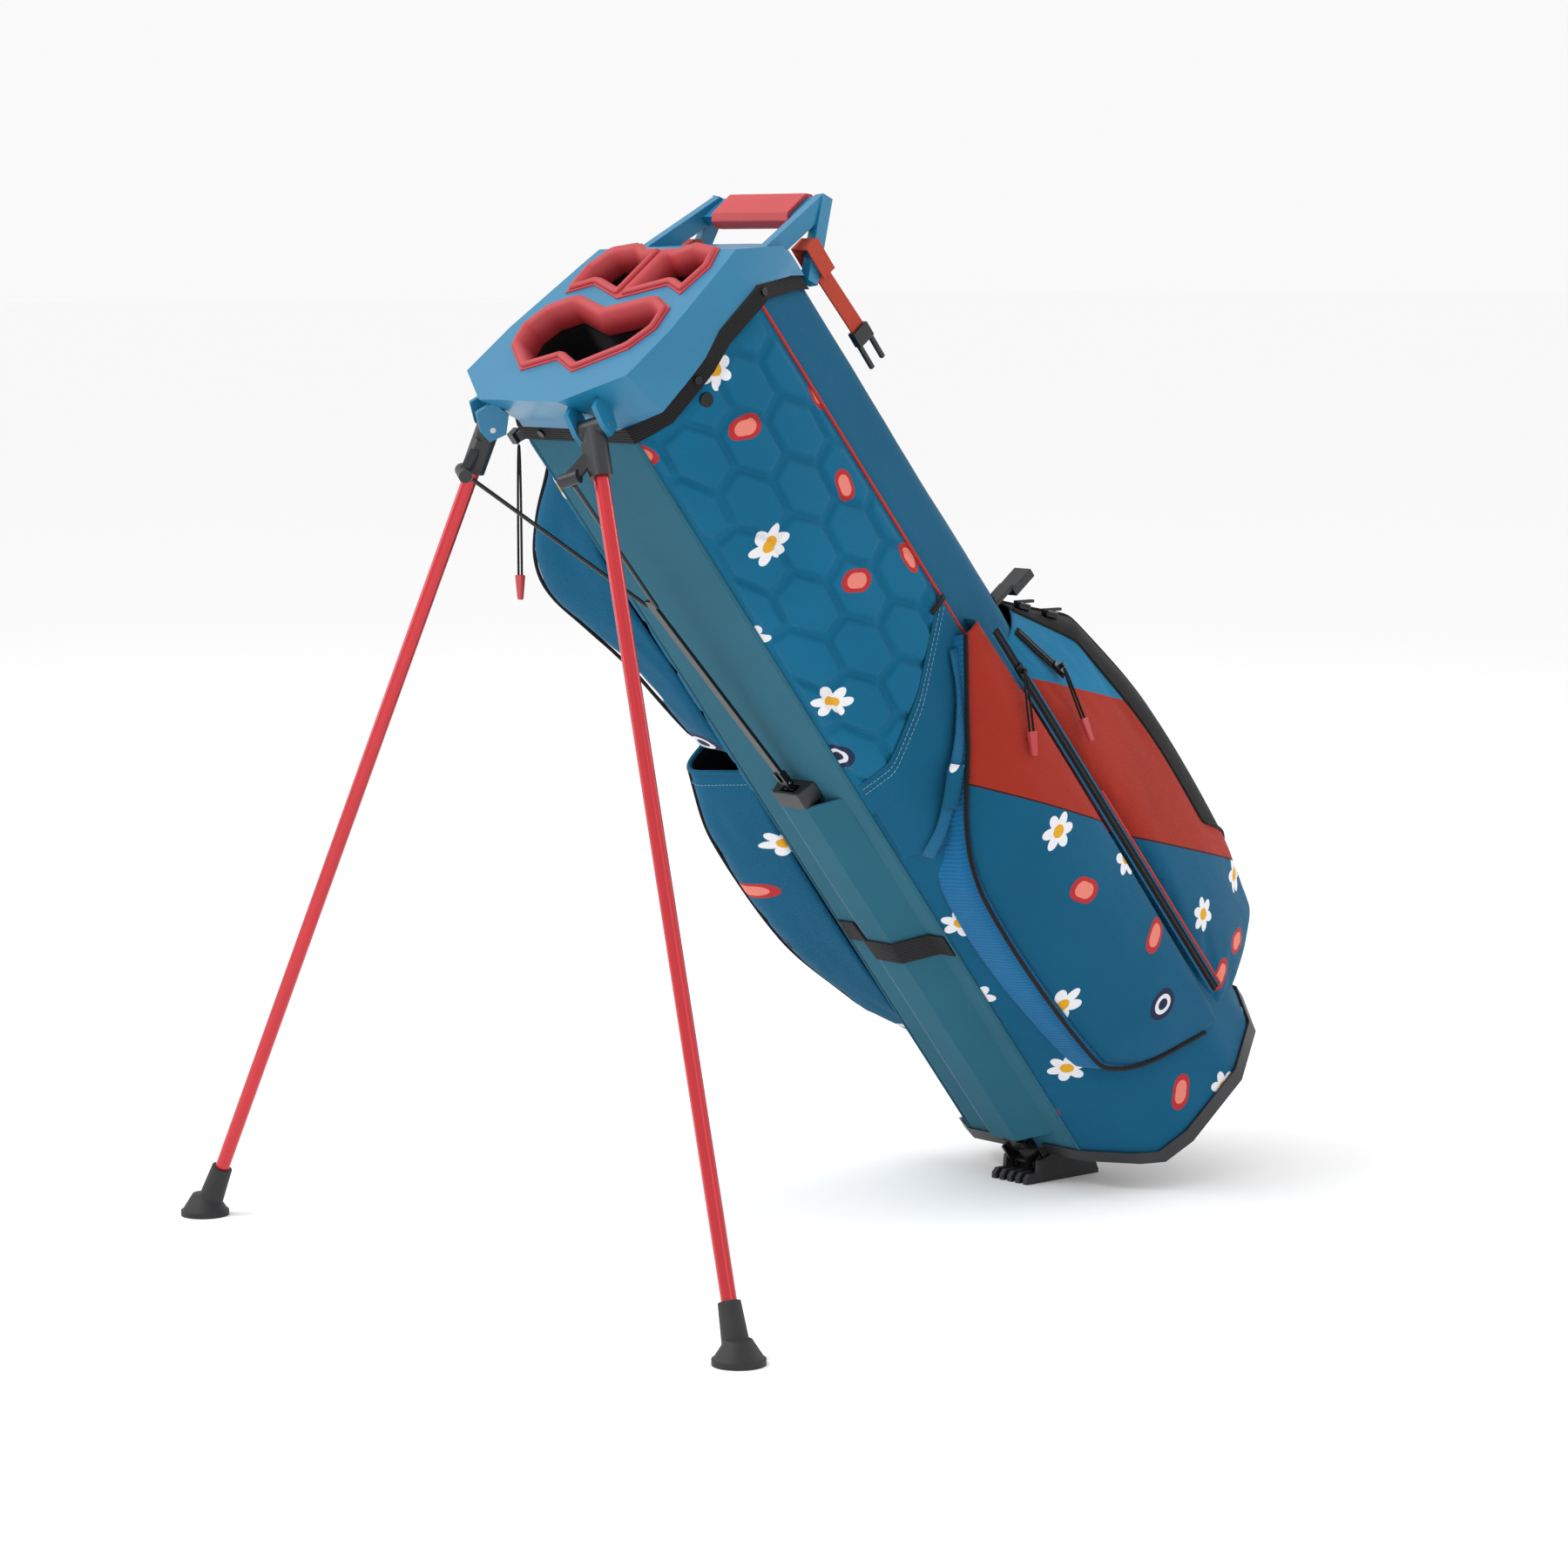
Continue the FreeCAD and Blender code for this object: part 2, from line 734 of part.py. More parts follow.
def make_base():
    """Moulded base cup with a level bevel in front and a slot for the foot's arms."""
    gap = dim("cup_gap")
    wall = dim("cup_wall") + gap
    outer = body_core(0, 60, wall).common(above_ground(dim("bevel_level")))
    inner = body_core(3, 80, gap).common(above_ground(dim("bevel_level") + 3))
    rim = prism(
        [Vector(-200, -200, 92), Vector(-200, -98, 13), Vector(-200, 200, 13),
         Vector(-200, 200, 130), Vector(-200, -200, 130)],
        Vector(400, 0, 0),
    )
    cup = outer.cut(inner).cut(rim)
    pin_y, pin_z = -dim("shoe_pin_front"), dim("shoe_pin_up")
    ear_in = dim("shoe_half") + 1.0
    ear_out = ear_in + 5.0
    ears = []
    for near, far in ((ear_in, ear_out), (-ear_out, -ear_in)):
        ear = block((near, pin_y - 9, 0), (far, pin_y + 9, pin_z + 9))
        ears.append(ear.common(above_ground(dim("bevel_level"))))
    cup = cup.multiFuse(ears)
    slot = block((-ear_in, -dim("spine_front") - 8, -20), (ear_in, pin_y + 14, pin_z + 40))
    bore = rod(Vector(-60, pin_y, pin_z), Vector(60, pin_y, pin_z), 3.0)
    shape_piece("base_cup", cup.cut(slot).cut(bore))


def make_base_foot_pin():
    reach = dim("shoe_half") + 6.0
    start = Vector(-reach, -dim("shoe_pin_front"), dim("shoe_pin_up"))
    across = Placement(start, Rotation(Vector(0, 1, 0), 90))
    pin = primitive("Cylinder", "base_foot_pin", Radius="3", Height="2 * (dim.shoe_half + 6)")
    keep(pin, "base_foot_pin", LEAN.multiply(across))


def make_base_foot():
    """Hinged foot: flat sole, ribbed toe, two arms to the pin and a link bar."""
    half = dim("shoe_half")
    pin = LEAN.multVec(Vector(0, -dim("shoe_pin_front"), dim("shoe_pin_up")))
    link = LEAN.multVec(Vector(0, -dim("rod_front"), dim("link_up")))
    toe, heel = -dim("shoe_toe"), dim("shoe_heel")
    sole = block((-half, toe + 14, 0), (half, heel, 4))
    foot = sole.cut(block((-half + 9, 8, -1), (half - 9, heel - 8, 5)))
    rib_wide = 5.0
    rib_count = 5
    for i in range(rib_count):
        x = -half + i * (2 * half - rib_wide) / (rib_count - 1)
        rib = [Vector(x, toe, 0), Vector(x, toe + 16, 0), Vector(x, toe + 16, 9),
               Vector(x, toe + 4, 9), Vector(x, toe, 5)]
        foot = foot.fuse(prism(rib, Vector(rib_wide, 0, 0)))
    arm_thick = 4.0
    for x in (-half, half - arm_thick):
        arm = [Vector(x, link.y - 8, 2), Vector(x, heel, 2), Vector(x, pin.y + 9, pin.z),
               Vector(x, pin.y + 5, pin.z + 7), Vector(x, pin.y - 5, pin.z + 7),
               Vector(x, link.y + 4, link.z + 6), Vector(x, link.y - 6, link.z + 4)]
        foot = foot.fuse(prism(arm, Vector(arm_thick, 0, 0)))
    bore = 3.0 + dim("pin_running")
    foot = foot.cut(rod(Vector(-40, pin.y, pin.z), Vector(40, pin.y, pin.z), bore))
    link_end = half - 1
    foot = foot.fuse(rod(Vector(-link_end, link.y, link.z), Vector(link_end, link.y, link.z), 2.4))
    shape_piece("base_foot", foot.removeSplitter(), UPRIGHT)


# ---------------------------------------------------------------- push rod

def make_push_rod():
    """Flat rod that slides down the spine, with a tongue above and a slotted fork below."""
    y = -dim("rod_front")
    thick, wide = dim("rod_thick"), dim("rod_wide")
    hinge = dim("rod_hinge")
    tongue = 2.2
    shaft = block((-wide / 2, y - thick / 2, 40), (wide / 2, y + thick / 2, hinge - 6))
    neck = block((-tongue, y - thick / 2, hinge - 8), (tongue, y + thick / 2, hinge))
    eye = rod(Vector(-tongue, y, hinge), Vector(tongue, y, hinge), 3.2)
    half = dim("link_half")
    yoke = block((-half, y - thick / 2, 38), (half, y + thick / 2, 50))
    tines = [
        block((near, y - 6.5, 19.5), (near + 3, y + 9.5, 46))
        for near in (-half, half - 3)
    ]
    shaft = shaft.multiFuse([neck, eye, yoke] + tines)
    slot_low = dim("link_up") - 2.9
    slot = block((-20, y - 4.6, slot_low), (20, y - 4.6 + dim("link_slot"), slot_low + 5.8))
    shaft = shaft.cut(slot).cut(rod(Vector(-9, y, hinge), Vector(9, y, hinge), 1.4))
    shape_piece("push_rod", shaft.removeSplitter())


def make_rod_hinge_pin():
    start = Vector(-5.6, -dim("rod_front"), dim("rod_hinge"))
    across = Placement(start, Rotation(Vector(0, 1, 0), 90))
    pin = primitive("Cylinder", "rod_hinge_pin", Radius="1.4", Height="11.2")
    keep(pin, "rod_hinge_pin", LEAN.multiply(across))


def make_push_strip():
    """Upper strip: two cheeks on the rod's hinge pin, and a tip for the wires."""
    base = Vector(0, -dim("rod_front"), dim("rod_hinge"))
    apex = Vector(0, -dim("apex_front"), dim("apex_up"))
    along = (apex - base).normalize()
    front = Vector(1, 0, 0).cross(along).normalize()
    strip = bar(base + along * 9, apex, dim("strip_wide"), dim("strip_thick"), front)
    cheeks = []
    for side in (-1, 1):
        middle = base + Vector(side * 3.7, 0, 0)
        cheeks.append(bar(middle - along * 3.4, middle + along * 12, 2.2, 6.0, front))
    bore = rod(base - Vector(9, 0, 0), base + Vector(9, 0, 0), 1.4 + dim("pin_running"))
    shape_piece("push_strip", strip.multiFuse(cheeks).cut(bore).removeSplitter())


def knob_point():
    """Centre of the right lever's knob, in the bag's frame."""
    across = HINGE_AXIS * -dim("knob_side")
    return PIVOT + across + LEG_SWING * -dim("knob_fore") + LEG_DOWN * dim("knob_down")


def make_wires():
    """The two wires of the wishbone, from the strip's tip to the lever knobs."""
    side = dim("strip_wide") / 2.0 + dim("wire_radius") + 0.2
    apex = Vector(side, -dim("apex_front"), dim("apex_up") - 6)
    knob = knob_point()
    along = (knob - apex).normalize()
    tip = knob - along * dim("wire_short")
    right = shape_piece("right_wishbone_wire", rod(apex, tip, dim("wire_radius")))
    mirror_piece("left_wishbone_wire", right)


# -------------------------------------------------------------------- legs

def make_hinge_pins():
    reach = dim("barrel_half") + dim("ear_gap") + dim("ear_thick")
    across = Placement(Vector(-reach, 0, 0), Rotation(Vector(0, 1, 0), 90))
    pin = primitive("Cylinder", "right_leg_pin",
                    Radius="dim.pin_radius",
                    Height="2 * (dim.barrel_half + dim.ear_gap + dim.ear_thick)")
    keep(pin, "right_leg_pin", LEG_FRAME.multiply(across))
    mirror_piece("left_leg_pin", pin)


def make_yoke():
    """Moulded yoke: hinge barrel, tube socket, lever and knob."""
    half = dim("barrel_half")
    low = -dim("socket_low")
    barrel = rod(Vector(-half, 0, 0), Vector(half, 0, 0), dim("barrel_radius"))
    socket = rod(Vector(0, 0, 0), Vector(0, 0, low), dim("socket_radius"))
    lever = loft(
        [Vector(-9, -8, -12), Vector(-3, -9, -12), Vector(-3, -9, -38), Vector(-9, -8, -30)],
        [Vector(-9, 2, -14), Vector(-3, 2, -14), Vector(-3, 2, -38), Vector(-9, 2, -32)],
    )
    knob = Vector(-dim("knob_side"), -dim("knob_fore"), -dim("knob_down"))
    arm = bar(Vector(-6, -5, -24), knob, 7.0, 10.0)
    stub = Vector(dim("knob_half"), 0, 0)
    ball = rod(knob - stub, knob + stub, dim("knob_radius"))
    yoke = barrel.multiFuse([socket, lever, arm, ball])
    yoke = yoke.cut(rod(Vector(0, 0, -dim("socket_seat")), Vector(0, 0, low - 20), dim("leg_radius")))
    running = dim("pin_radius") + dim("pin_running")
    yoke = yoke.cut(rod(Vector(-half - 9, 0, 0), Vector(half + 9, 0, 0), running))
    right = shape_piece("right_leg_yoke", yoke.removeSplitter(), LEG_FRAME)
    mirror_piece("left_leg_yoke", right)


def make_tube():
    """Leg tube: a drawn tube seated in the yoke and the rubber foot."""
    length = "%.3f - dim.socket_seat - 14" % LEG_LENGTH
    outside = primitive("Cylinder", "leg_tube_outside", Radius="dim.leg_radius", Height=length)
    inside = primitive("Cylinder", "leg_tube_inside", Radius="dim.leg_bore", Height=length)
    tube = boolean("Cut", "right_leg_tube", outside, inside)
    down = Placement(Vector(0, 0, -dim("socket_seat")), Rotation(Vector(1, 0, 0), 180))
    keep(tube, "right_leg_tube", LEG_FRAME.multiply(down))
    mirror_piece("left_leg_tube", tube)


def make_leg_foot():
    """Rubber foot: a neck round the tube and a round pad flat on the ground."""
    ground = Vector(dim("foot_side"), -dim("foot_front"), 0)
    up = LEAN.Rotation.multVec(LEG_DOWN) * -1
    pad = Part.makeCylinder(20.0, 4.5, ground)
    cone = Part.makeCone(19.0, 10.0, 14, ground + Vector(0, 0, 4.5))
    neck = Part.makeCone(10.5, 8.6, 34, ground + up * 12, up)
    foot = pad.multiFuse([cone, neck])
    foot = foot.cut(rod(ground + up * 14, ground + up * 90, dim("leg_radius")))
    right = shape_piece("right_leg_foot", foot.removeSplitter(), UPRIGHT)
    mirror_piece("left_leg_foot", right)


# ----------------------------------------------------------------- pockets

ZIP_START = Vector(139.0, 21.0, 95.0)
ZIP_END = Vector(128.0, 21.0, 498.0)


def soft_form(sections, low, high, grow):
    """A lofted soft form that stands off the body."""
    form = loft(*[level(points, height) for height, points in sections])
    return form.cut(body_core(low, high, grow))


def make_right_pocket():
    """Long zipped pocket on the right side."""
    rows = [
        # height, seam x and y, piping x and y, belly x, zip edge x
        (66.0, 124.0, -6.0, 128.5, -4.0, 129.5, 130.0),
        (98.0, 118.0, -84.0, 132.0, -80.0, 138.0, 137.0),
        (130.0, 100.0, -118.0, 130.0, -114.0, 146.0, 139.0),
        (250.0, 86.0, -129.0, 132.0, -126.0, 153.0, 139.0),
        (340.0, 86.0, -128.0, 130.0, -124.0, 151.0, 138.0),
        (385.0, 92.0, -112.0, 126.0, -106.0, 147.0, 136.0),
        (440.0, 110.0, -66.0, 126.0, -60.0, 140.0, 132.0),
        (514.0, 112.0, -6.0, 123.0, -2.0, 125.0, 124.0),
    ]
    sections = []
    for height, seam_x, seam_y, pipe_x, pipe_y, belly_x, edge_x in rows:
        sections.append((height, [
            (60, seam_y),
            (seam_x, seam_y),
            (pipe_x, pipe_y),
            (belly_x, pipe_y * 0.4 + 4),
            (edge_x, 16),
            (80, 16),
        ]))
    form = soft_form(sections, 50, 530, dim("soft_gap"))
    shape_piece("right_side_pocket", form.cut(slip_pocket_space(0.4)))


SLIP_LOW = 388.0


def slip_pocket_space(grow):
    """The thin space that the slip pocket takes up, below its slanted hem."""
    low, high = SLIP_LOW - grow, 560.0
    thick = 3.4
    skin = body_core(low, high, dim("soft_gap") + thick + grow)
    skin = skin.cut(body_core(low - 1, high + 1, dim("soft_gap") - grow))
    hem = [
        Vector(200, -130, low - 9),
        Vector(200, 14 + grow, low - 9),
        Vector(200, 14 + grow, 556 + grow),
        Vector(200, -130, 462 + grow),
    ]
    return skin.common(prism(hem, Vector(-150 - grow, 0, 0)))


def make_slip_pocket():
    shape_piece("right_slip_pocket", slip_pocket_space(0.0))


def make_ball_pocket():
    """Large rear pocket."""
    rows = [
        (40.0, 98.0, 40.0, 84.0, 92.0, 54.0, 146.0),
        (60.0, 118.0, 30.0, 92.0, 100.0, 56.0, 167.0),
        (147.0, 131.0, 26.0, 108.0, 96.0, 73.0, 172.0),
        (289.0, 132.0, 26.0, 107.0, 98.0, 73.0, 172.0),
        (399.0, 124.0, 30.0, 93.0, 94.0, 62.0, 152.0),
        (430.0, 113.0, 40.0, 87.0, 86.0, 60.0, 122.0),
        (462.0, 98.0, 52.0, 80.0, 76.0, 56.0, 94.0),
    ]
    sections = []
    for height, side_x, side_y, mid_x, mid_y, rear_x, rear_y in rows:
        half = [(70, 26), (side_x, side_y), (mid_x, mid_y), (rear_x, rear_y)]
        sections.append((height, half + mirrored(half)))
    shape_piece("ball_pocket", soft_form(sections, 30, 480, dim("soft_gap")))


def left_rows(rows, mouth=0.0):
    """Sections of a left-hand pocket, from seam, front and belly points."""
    sections = []
    for height, seam_x, seam_y, front_x, front_y, belly_x, rear_x in rows:
        sections.append((height, [
            (-80, 16 - mouth),
            (-rear_x + mouth, 16 - mouth),
            (-belly_x + mouth, front_y * 0.35),
            (-front_x + mouth, front_y + mouth),
            (-seam_x, seam_y + mouth),
            (-60, seam_y + mouth),
        ]))
    return sections


def make_left_pockets():
    """Tall zipped pocket above and a bottle pocket with an open mouth below."""
    upper = [
        (470.0, 92.0, -124.0, 142.0, -122.0, 150.0, 122.0),
        (560.0, 90.0, -126.0, 156.0, -130.0, 164.0, 128.0),
        (600.0, 88.0, -128.0, 166.0, -136.0, 174.0, 132.0),
        (660.0, 90.0, -128.0, 182.0, -150.0, 188.0, 136.0),
        (710.0, 92.0, -122.0, 166.0, -138.0, 174.0, 132.0),
        (776.0, 100.0, -92.0, 116.0, -94.0, 124.0, 112.0),
    ]
    shape_piece("left_tall_pocket", soft_form(left_rows(upper), 460, 790, dim("soft_gap")))
    lower = [
        (120.0, 112.0, -104.0, 122.0, -104.0, 138.0, 132.0),
        (160.0, 100.0, -118.0, 148.0, -122.0, 164.0, 142.0),
        (250.0, 88.0, -128.0, 174.0, -146.0, 184.0, 150.0),
        (380.0, 86.0, -128.0, 178.0, -148.0, 186.0, 148.0),
        (446.0, 90.0, -120.0, 168.0, -130.0, 172.0, 140.0),
    ]
    form = soft_form(left_rows(lower), 110, 460, dim("soft_gap"))
    hollow = [row for row in lower if row[0] > 200]
    inside = soft_form(left_rows(hollow, 5.0), 110, 460, dim("soft_gap") + 3)
    lift = Vector(0, 0, 3)
    shape_piece("left_bottle_pocket", form.cut(inside).cut(inside.translated(lift)))


# ------------------------------------------------------- zips, cords and straps

def make_tape():
    """Side zip's tape, straight from the base to below the slip pocket."""
    shape_piece("side_zip_tape", bar(ZIP_START, ZIP_END, 8.4, 1.6, Vector(1, 0, 0)))


def route_tube(points, diameter):
    """A round tube along straight runs joined by the largest tangent arcs."""
    edges = []
    start = points[0]
    length = 0.0
    for before, here, after in zip(points, points[1:], points[2:]):
        into, out = here - before, after - here
        shorter = min(into.Length, out.Length)
        turn = into.getAngle(out)
        trim = 0.45 * shorter
        radius = trim / math.tan(turn / 2.0)
        into.normalize()
        out.normalize()
        first, last = here - into * trim, here + out * trim
        toward = (out - into).normalize()
        middle = here + toward * (radius / math.cos(turn / 2.0) - radius)
        edges.append(Part.LineSegment(start, first).toShape())
        edges.append(Part.Arc(first, middle, last).toShape())
        length += (first - start).Length + radius * turn
        start = last
        print("   arc radius %.1f mm" % radius)
    edges.append(Part.LineSegment(start, points[-1]).toShape())
    length += (points[-1] - start).Length
    path = Part.Wire(edges)
    profile = Part.Wire(Part.makeCircle(diameter / 2.0, points[0], points[1] - points[0]))
    tube = path.makePipeShell([profile], True, False)
    section = math.pi * diameter ** 2 / 4.0
    print("   cord %.1f mm long, volume %.1f of %.1f mm3" % (length, tube.Volume, section * length))
    return tube


def pull_cord(label, top, drop, across, way=Vector(0, 0, -1)):
    """A cord folded over at its top, its two strands running into a moulded end."""
    side = across * (dim("cord_loop") / 2.0)
    down = way * drop
    route = [top + side + down, top + side, top - side, top - side + down]
    shape_piece(label + "_cord", route_tube(route, dim("cord_thick")), UPRIGHT)
    end = top + down
    wide = dim("cord_loop") / 2.0 + dim("cord_thick") / 2.0 + 1.2
    deep = dim("cord_thick") / 2.0 + 1.4
    plan = [across * x + way.cross(across) * y
            for x, y in ((-wide, -deep), (wide, -deep), (wide, deep), (-wide, deep))]
    low = way * 20.0
    tip = Part.makeLoft([
        polygon([end + corner for corner in plan]),
        polygon([end + low + corner * 0.62 for corner in plan]),
    ], True, True)
    shape_piece(label + "_end", tip, UPRIGHT)


def zip_slider(label, centre, along, out):
    """A slider that rides just above its tape, with a tab for the pull."""
    low, high = 1.0, 3.4
    middle = centre + out * ((low + high) / 2.0)
    slider = bar(middle - along * 6, middle + along * 6, 7.0, high - low, out)
    tab = bar(centre + out * low, centre + out * (high + 5.0), 4.0, 3.0, along)
    shape_piece(label, slider.fuse(tab))
    return LEAN.multVec(centre + out * (high + 3.4))


def make_side_slider():
    """Slider of the side zip, and the cord that pulls it."""
    along = (ZIP_END - ZIP_START).normalize()
    out = Vector(0, 1, 0).cross(along).normalize()
    tab = zip_slider("side_zip_slider", ZIP_START + along * 360.0, along, out)
    way = LEAN.Rotation.multVec(Vector(12, -43, -55)).normalize()
    across = Vector(1, 0, 0).cross(way).normalize()
    pull_cord("side_zip_pull", tab + way * 3.2, 46.0, across, way)


BALL_ZIP_START = Vector(107.0, 72.2, 402.8)
BALL_ZIP_END = Vector(93.0, 63.2, 458.8)


def make_ball_zip():
    """Short zip on the flank of the ball pocket; its pull lies on the pocket."""
    along = (BALL_ZIP_END - BALL_ZIP_START).normalize()
    out = Vector(-31, 64, 0).cross(along).normalize()
    shape_piece("ball_zip_tape", bar(BALL_ZIP_START, BALL_ZIP_END, 8.4, 1.6, out))
    tab = zip_slider("ball_zip_slider", BALL_ZIP_START + along * 9.0, along, out)
    way = LEAN.Rotation.multVec(Vector(24, -31, -60)).normalize()
    across = LEAN.Rotation.multVec(out).cross(way).normalize()
    pull_cord("ball_zip_pull", tab + way * 3.2, 44.0, across, way)


def make_hanging_cord():
    """Rain-hood cord on the left: a clip on the binding and the pull below it."""
    clip_low = Vector(-110.0, -127.0, 806.0)
    clip = block((clip_low.x, clip_low.y, clip_low.z), (clip_low.x + 7, clip_low.y + 9, 816.0))
    stem = bar(Vector(-103.2, -122.5, 811.0), Vector(-95.5, -113.5, 811.0), 6.0, 8.0)
    shape_piece("cord_clip", clip.fuse(stem.cut(body_core(780, 840, 0.02))))
    top = LEAN.multVec(clip_low + Vector(3.5, 4.5, 0)) - Vector(0, 0, 3.6)
    pull_cord("hanging", top, 104.0, Vector(1, 0, 0))


LOOP_X, LOOP_Y, LOOP_HALF = 72.2, 90.0, 7.0
LOOP_LOW, LOOP_HIGH = 808.9, 838.4
LOOP_WIDE = 9.9
WEBBING = 1.6


def strut_loop():
    """Webbing sewn into a loop round the right rear strut."""
    outer = block((LOOP_X - LOOP_WIDE, LOOP_Y - LOOP_HALF, LOOP_LOW),
                  (LOOP_X + LOOP_WIDE, LOOP_Y + LOOP_HALF, LOOP_HIGH))
    inside = LOOP_WIDE - WEBBING
    inner = block((LOOP_X - inside, LOOP_Y - LOOP_HALF - 1, LOOP_LOW + WEBBING),
                  (LOOP_X + inside, LOOP_Y + LOOP_HALF + 1, LOOP_HIGH - WEBBING))
    return outer.cut(inner)


def make_strap():
    """Shoulder strap's lower webbing: a loop on the right strut and a buckle."""
    loop = strut_loop()
    tail = bar(Vector(LOOP_X, LOOP_Y, LOOP_LOW + 0.5), Vector(LOOP_X, LOOP_Y + 3, 752),
               2.0, 2 * LOOP_HALF, Vector(0, 1, 0))
    shape_piece("strap_webbing", loop.fuse(tail))
    y = LOOP_Y + 3
    buckle = block((LOOP_X - 4, y - 9, 738), (LOOP_X + 4, y + 9, 751.7))
    prongs = [
        block((LOOP_X - 2, y + near, 716), (LOOP_X + 2, y + near + 4, 738))
        for near in (-9, 5)
    ]
    shape_piece("strap_buckle", buckle.multiFuse(prongs))
    shape_piece("left_strap_loop", mirror_shape(loop))


def make_small_trim():
    """Snap button for the rain hood, and the buckle that the strap's lower end clips to."""
    button = primitive("Cylinder", "snap_button", Radius="6", Height="3.2")
    out = Vector(1, -0.2, 0)
    spot = Vector(101.8, -83.0, 822.0)
    keep(button, "snap_button", LEAN.multiply(Placement(spot, Rotation(Vector(0, 0, 1), out))))
    tab = block((59, 70, 476), (75, 96, 480)).cut(body_core(440, 500, 0.05))
    shell = block((57, 92, 470), (77, 118, 478))
    slot = block((60, 100, 472), (74, 119, 476))
    shape_piece("lower_buckle", tab.fuse(shell.cut(slot)))


doc.recompute()
make_collar()
make_well_trim()
make_handle_grip()
make_binding()
make_panels()
make_board()
make_tunnel()
make_dividers()
make_base()
make_base_foot_pin()
make_base_foot()
make_push_rod()
make_rod_hinge_pin()
make_push_strip()
make_wires()
make_hinge_pins()
make_yoke()
make_tube()
make_leg_foot()
make_right_pocket()
make_slip_pocket()
make_ball_pocket()
make_left_pockets()
make_tape()
make_side_slider()
make_ball_zip()
make_hanging_cord()
make_strap()
make_small_trim()
doc.recompute()

failed = []
for obj in doc.Objects:
    if "Invalid" in obj.State or "Error" in obj.State:
        failed.append("%s did not recompute" % obj.Label)
for piece in pieces:
    if piece.Shape.isNull() or not piece.Shape.isValid():
        failed.append("%s has no valid shape" % piece.Label)
if failed:
    raise RuntimeError("; ".join(failed))

os.makedirs("parts", exist_ok=True)
for piece in pieces:
    piece.Shape.exportStep("parts/%s.step" % piece.Label)
    print("%-24s %10.1f mm3  solids %d" % (piece.Label, piece.Shape.Volume, len(piece.Shape.Solids)))
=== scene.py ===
import math

import bpy
import numpy as np
from mathutils import Matrix, Vector, noise


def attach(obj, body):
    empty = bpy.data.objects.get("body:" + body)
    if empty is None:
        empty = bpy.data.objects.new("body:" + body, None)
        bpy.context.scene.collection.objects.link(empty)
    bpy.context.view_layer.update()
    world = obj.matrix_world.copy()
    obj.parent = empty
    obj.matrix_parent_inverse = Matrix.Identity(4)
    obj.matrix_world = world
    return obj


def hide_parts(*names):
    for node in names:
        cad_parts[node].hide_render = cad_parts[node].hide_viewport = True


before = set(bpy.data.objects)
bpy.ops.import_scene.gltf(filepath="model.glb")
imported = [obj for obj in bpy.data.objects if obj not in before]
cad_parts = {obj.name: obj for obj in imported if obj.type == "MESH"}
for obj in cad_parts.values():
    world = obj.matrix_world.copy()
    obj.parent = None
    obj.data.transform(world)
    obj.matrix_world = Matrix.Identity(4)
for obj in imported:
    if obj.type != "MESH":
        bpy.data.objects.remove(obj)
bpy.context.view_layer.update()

# The bag's own frame is (u, v, w) in millimetres: u to its right, v from the legs' side to the
# ball pocket's side, w up its length from the base. It leans over its legs in the row frame.
MM = 0.001
LEAN = math.radians(37.8)
COS, SIN = math.cos(LEAN), math.sin(LEAN)
ORIGIN_Y, ORIGIN_Z = 100.0, 85.0


def row(u, v, w):
    """A point of the bag's own frame in the row frame, in metres."""
    return Vector((u * MM, (ORIGIN_Y + v * COS - w * SIN) * MM, (ORIGIN_Z + v * SIN + w * COS) * MM))


def linked(name, data):
    """A new object in the scene."""
    made = bpy.data.objects.new(name, data)
    bpy.context.scene.collection.objects.link(made)
    return made


def mesh_object(name, verts, faces):
    mesh = bpy.data.meshes.new(name)
    mesh.from_pydata(verts, [], faces)
    mesh.update()
    return linked(name, mesh)


def round_cord(name, places, radius, ring, fine):
    """A round cord on one NURBS spline, whose control points are in metres in the row frame."""
    data = bpy.data.curves.new(name, "CURVE")
    data.dimensions = "3D"
    data.bevel_depth = radius
    data.bevel_resolution = ring
    data.resolution_u = fine
    data.use_fill_caps = True
    spline = data.splines.new("NURBS")
    spline.points.add(len(places) - 1)
    for point, place in zip(spline.points, places):
        point.co = (*place, 1.0)
    spline.order_u = 3
    spline.use_endpoint_u = True
    return linked(name, data)


# -------------------- camera and lights

def make_camera():
    azimuth, elevation, roll = math.radians(49.41), math.radians(6.64), math.radians(-0.2)
    back = Vector((math.sin(azimuth) * math.cos(elevation),
                   -math.cos(azimuth) * math.cos(elevation), math.sin(elevation)))
    right = Vector((math.cos(azimuth), math.sin(azimuth), 0))
    up = back.cross(right)
    right, up = (right * math.cos(roll) + up * math.sin(roll),
                 up * math.cos(roll) - right * math.sin(roll))
    data = bpy.data.cameras.new("camera")
    data.lens = 105.4
    data.sensor_width = 36
    data.clip_end = 200
    camera = linked("camera", data)
    place = Matrix((right, up, back)).transposed().to_4x4()
    place.translation = (2.827, -2.726, 0.798)
    camera.matrix_world = place
    bpy.context.scene.camera = camera


def area_light(name, place, size, power):
    """A soft light that points at the middle of the bag."""
    data = bpy.data.lights.new(name, "AREA")
    data.shape = "RECTANGLE"
    data.size, data.size_y = size
    data.energy = power
    lamp = linked(name, data)
    lamp.location = place
    lamp.rotation_euler = (BAG_MIDDLE - Vector(place)).to_track_quat("-Z", "Y").to_euler()


def make_world():
    world = bpy.data.worlds.new("studio")
    world.use_nodes = True
    background = world.node_tree.nodes["Background"]
    background.inputs["Color"].default_value = (1, 1, 1, 1)
    background.inputs["Strength"].default_value = 0.95
    bpy.context.scene.world = world
    bpy.context.scene.view_settings.view_transform = "Standard"


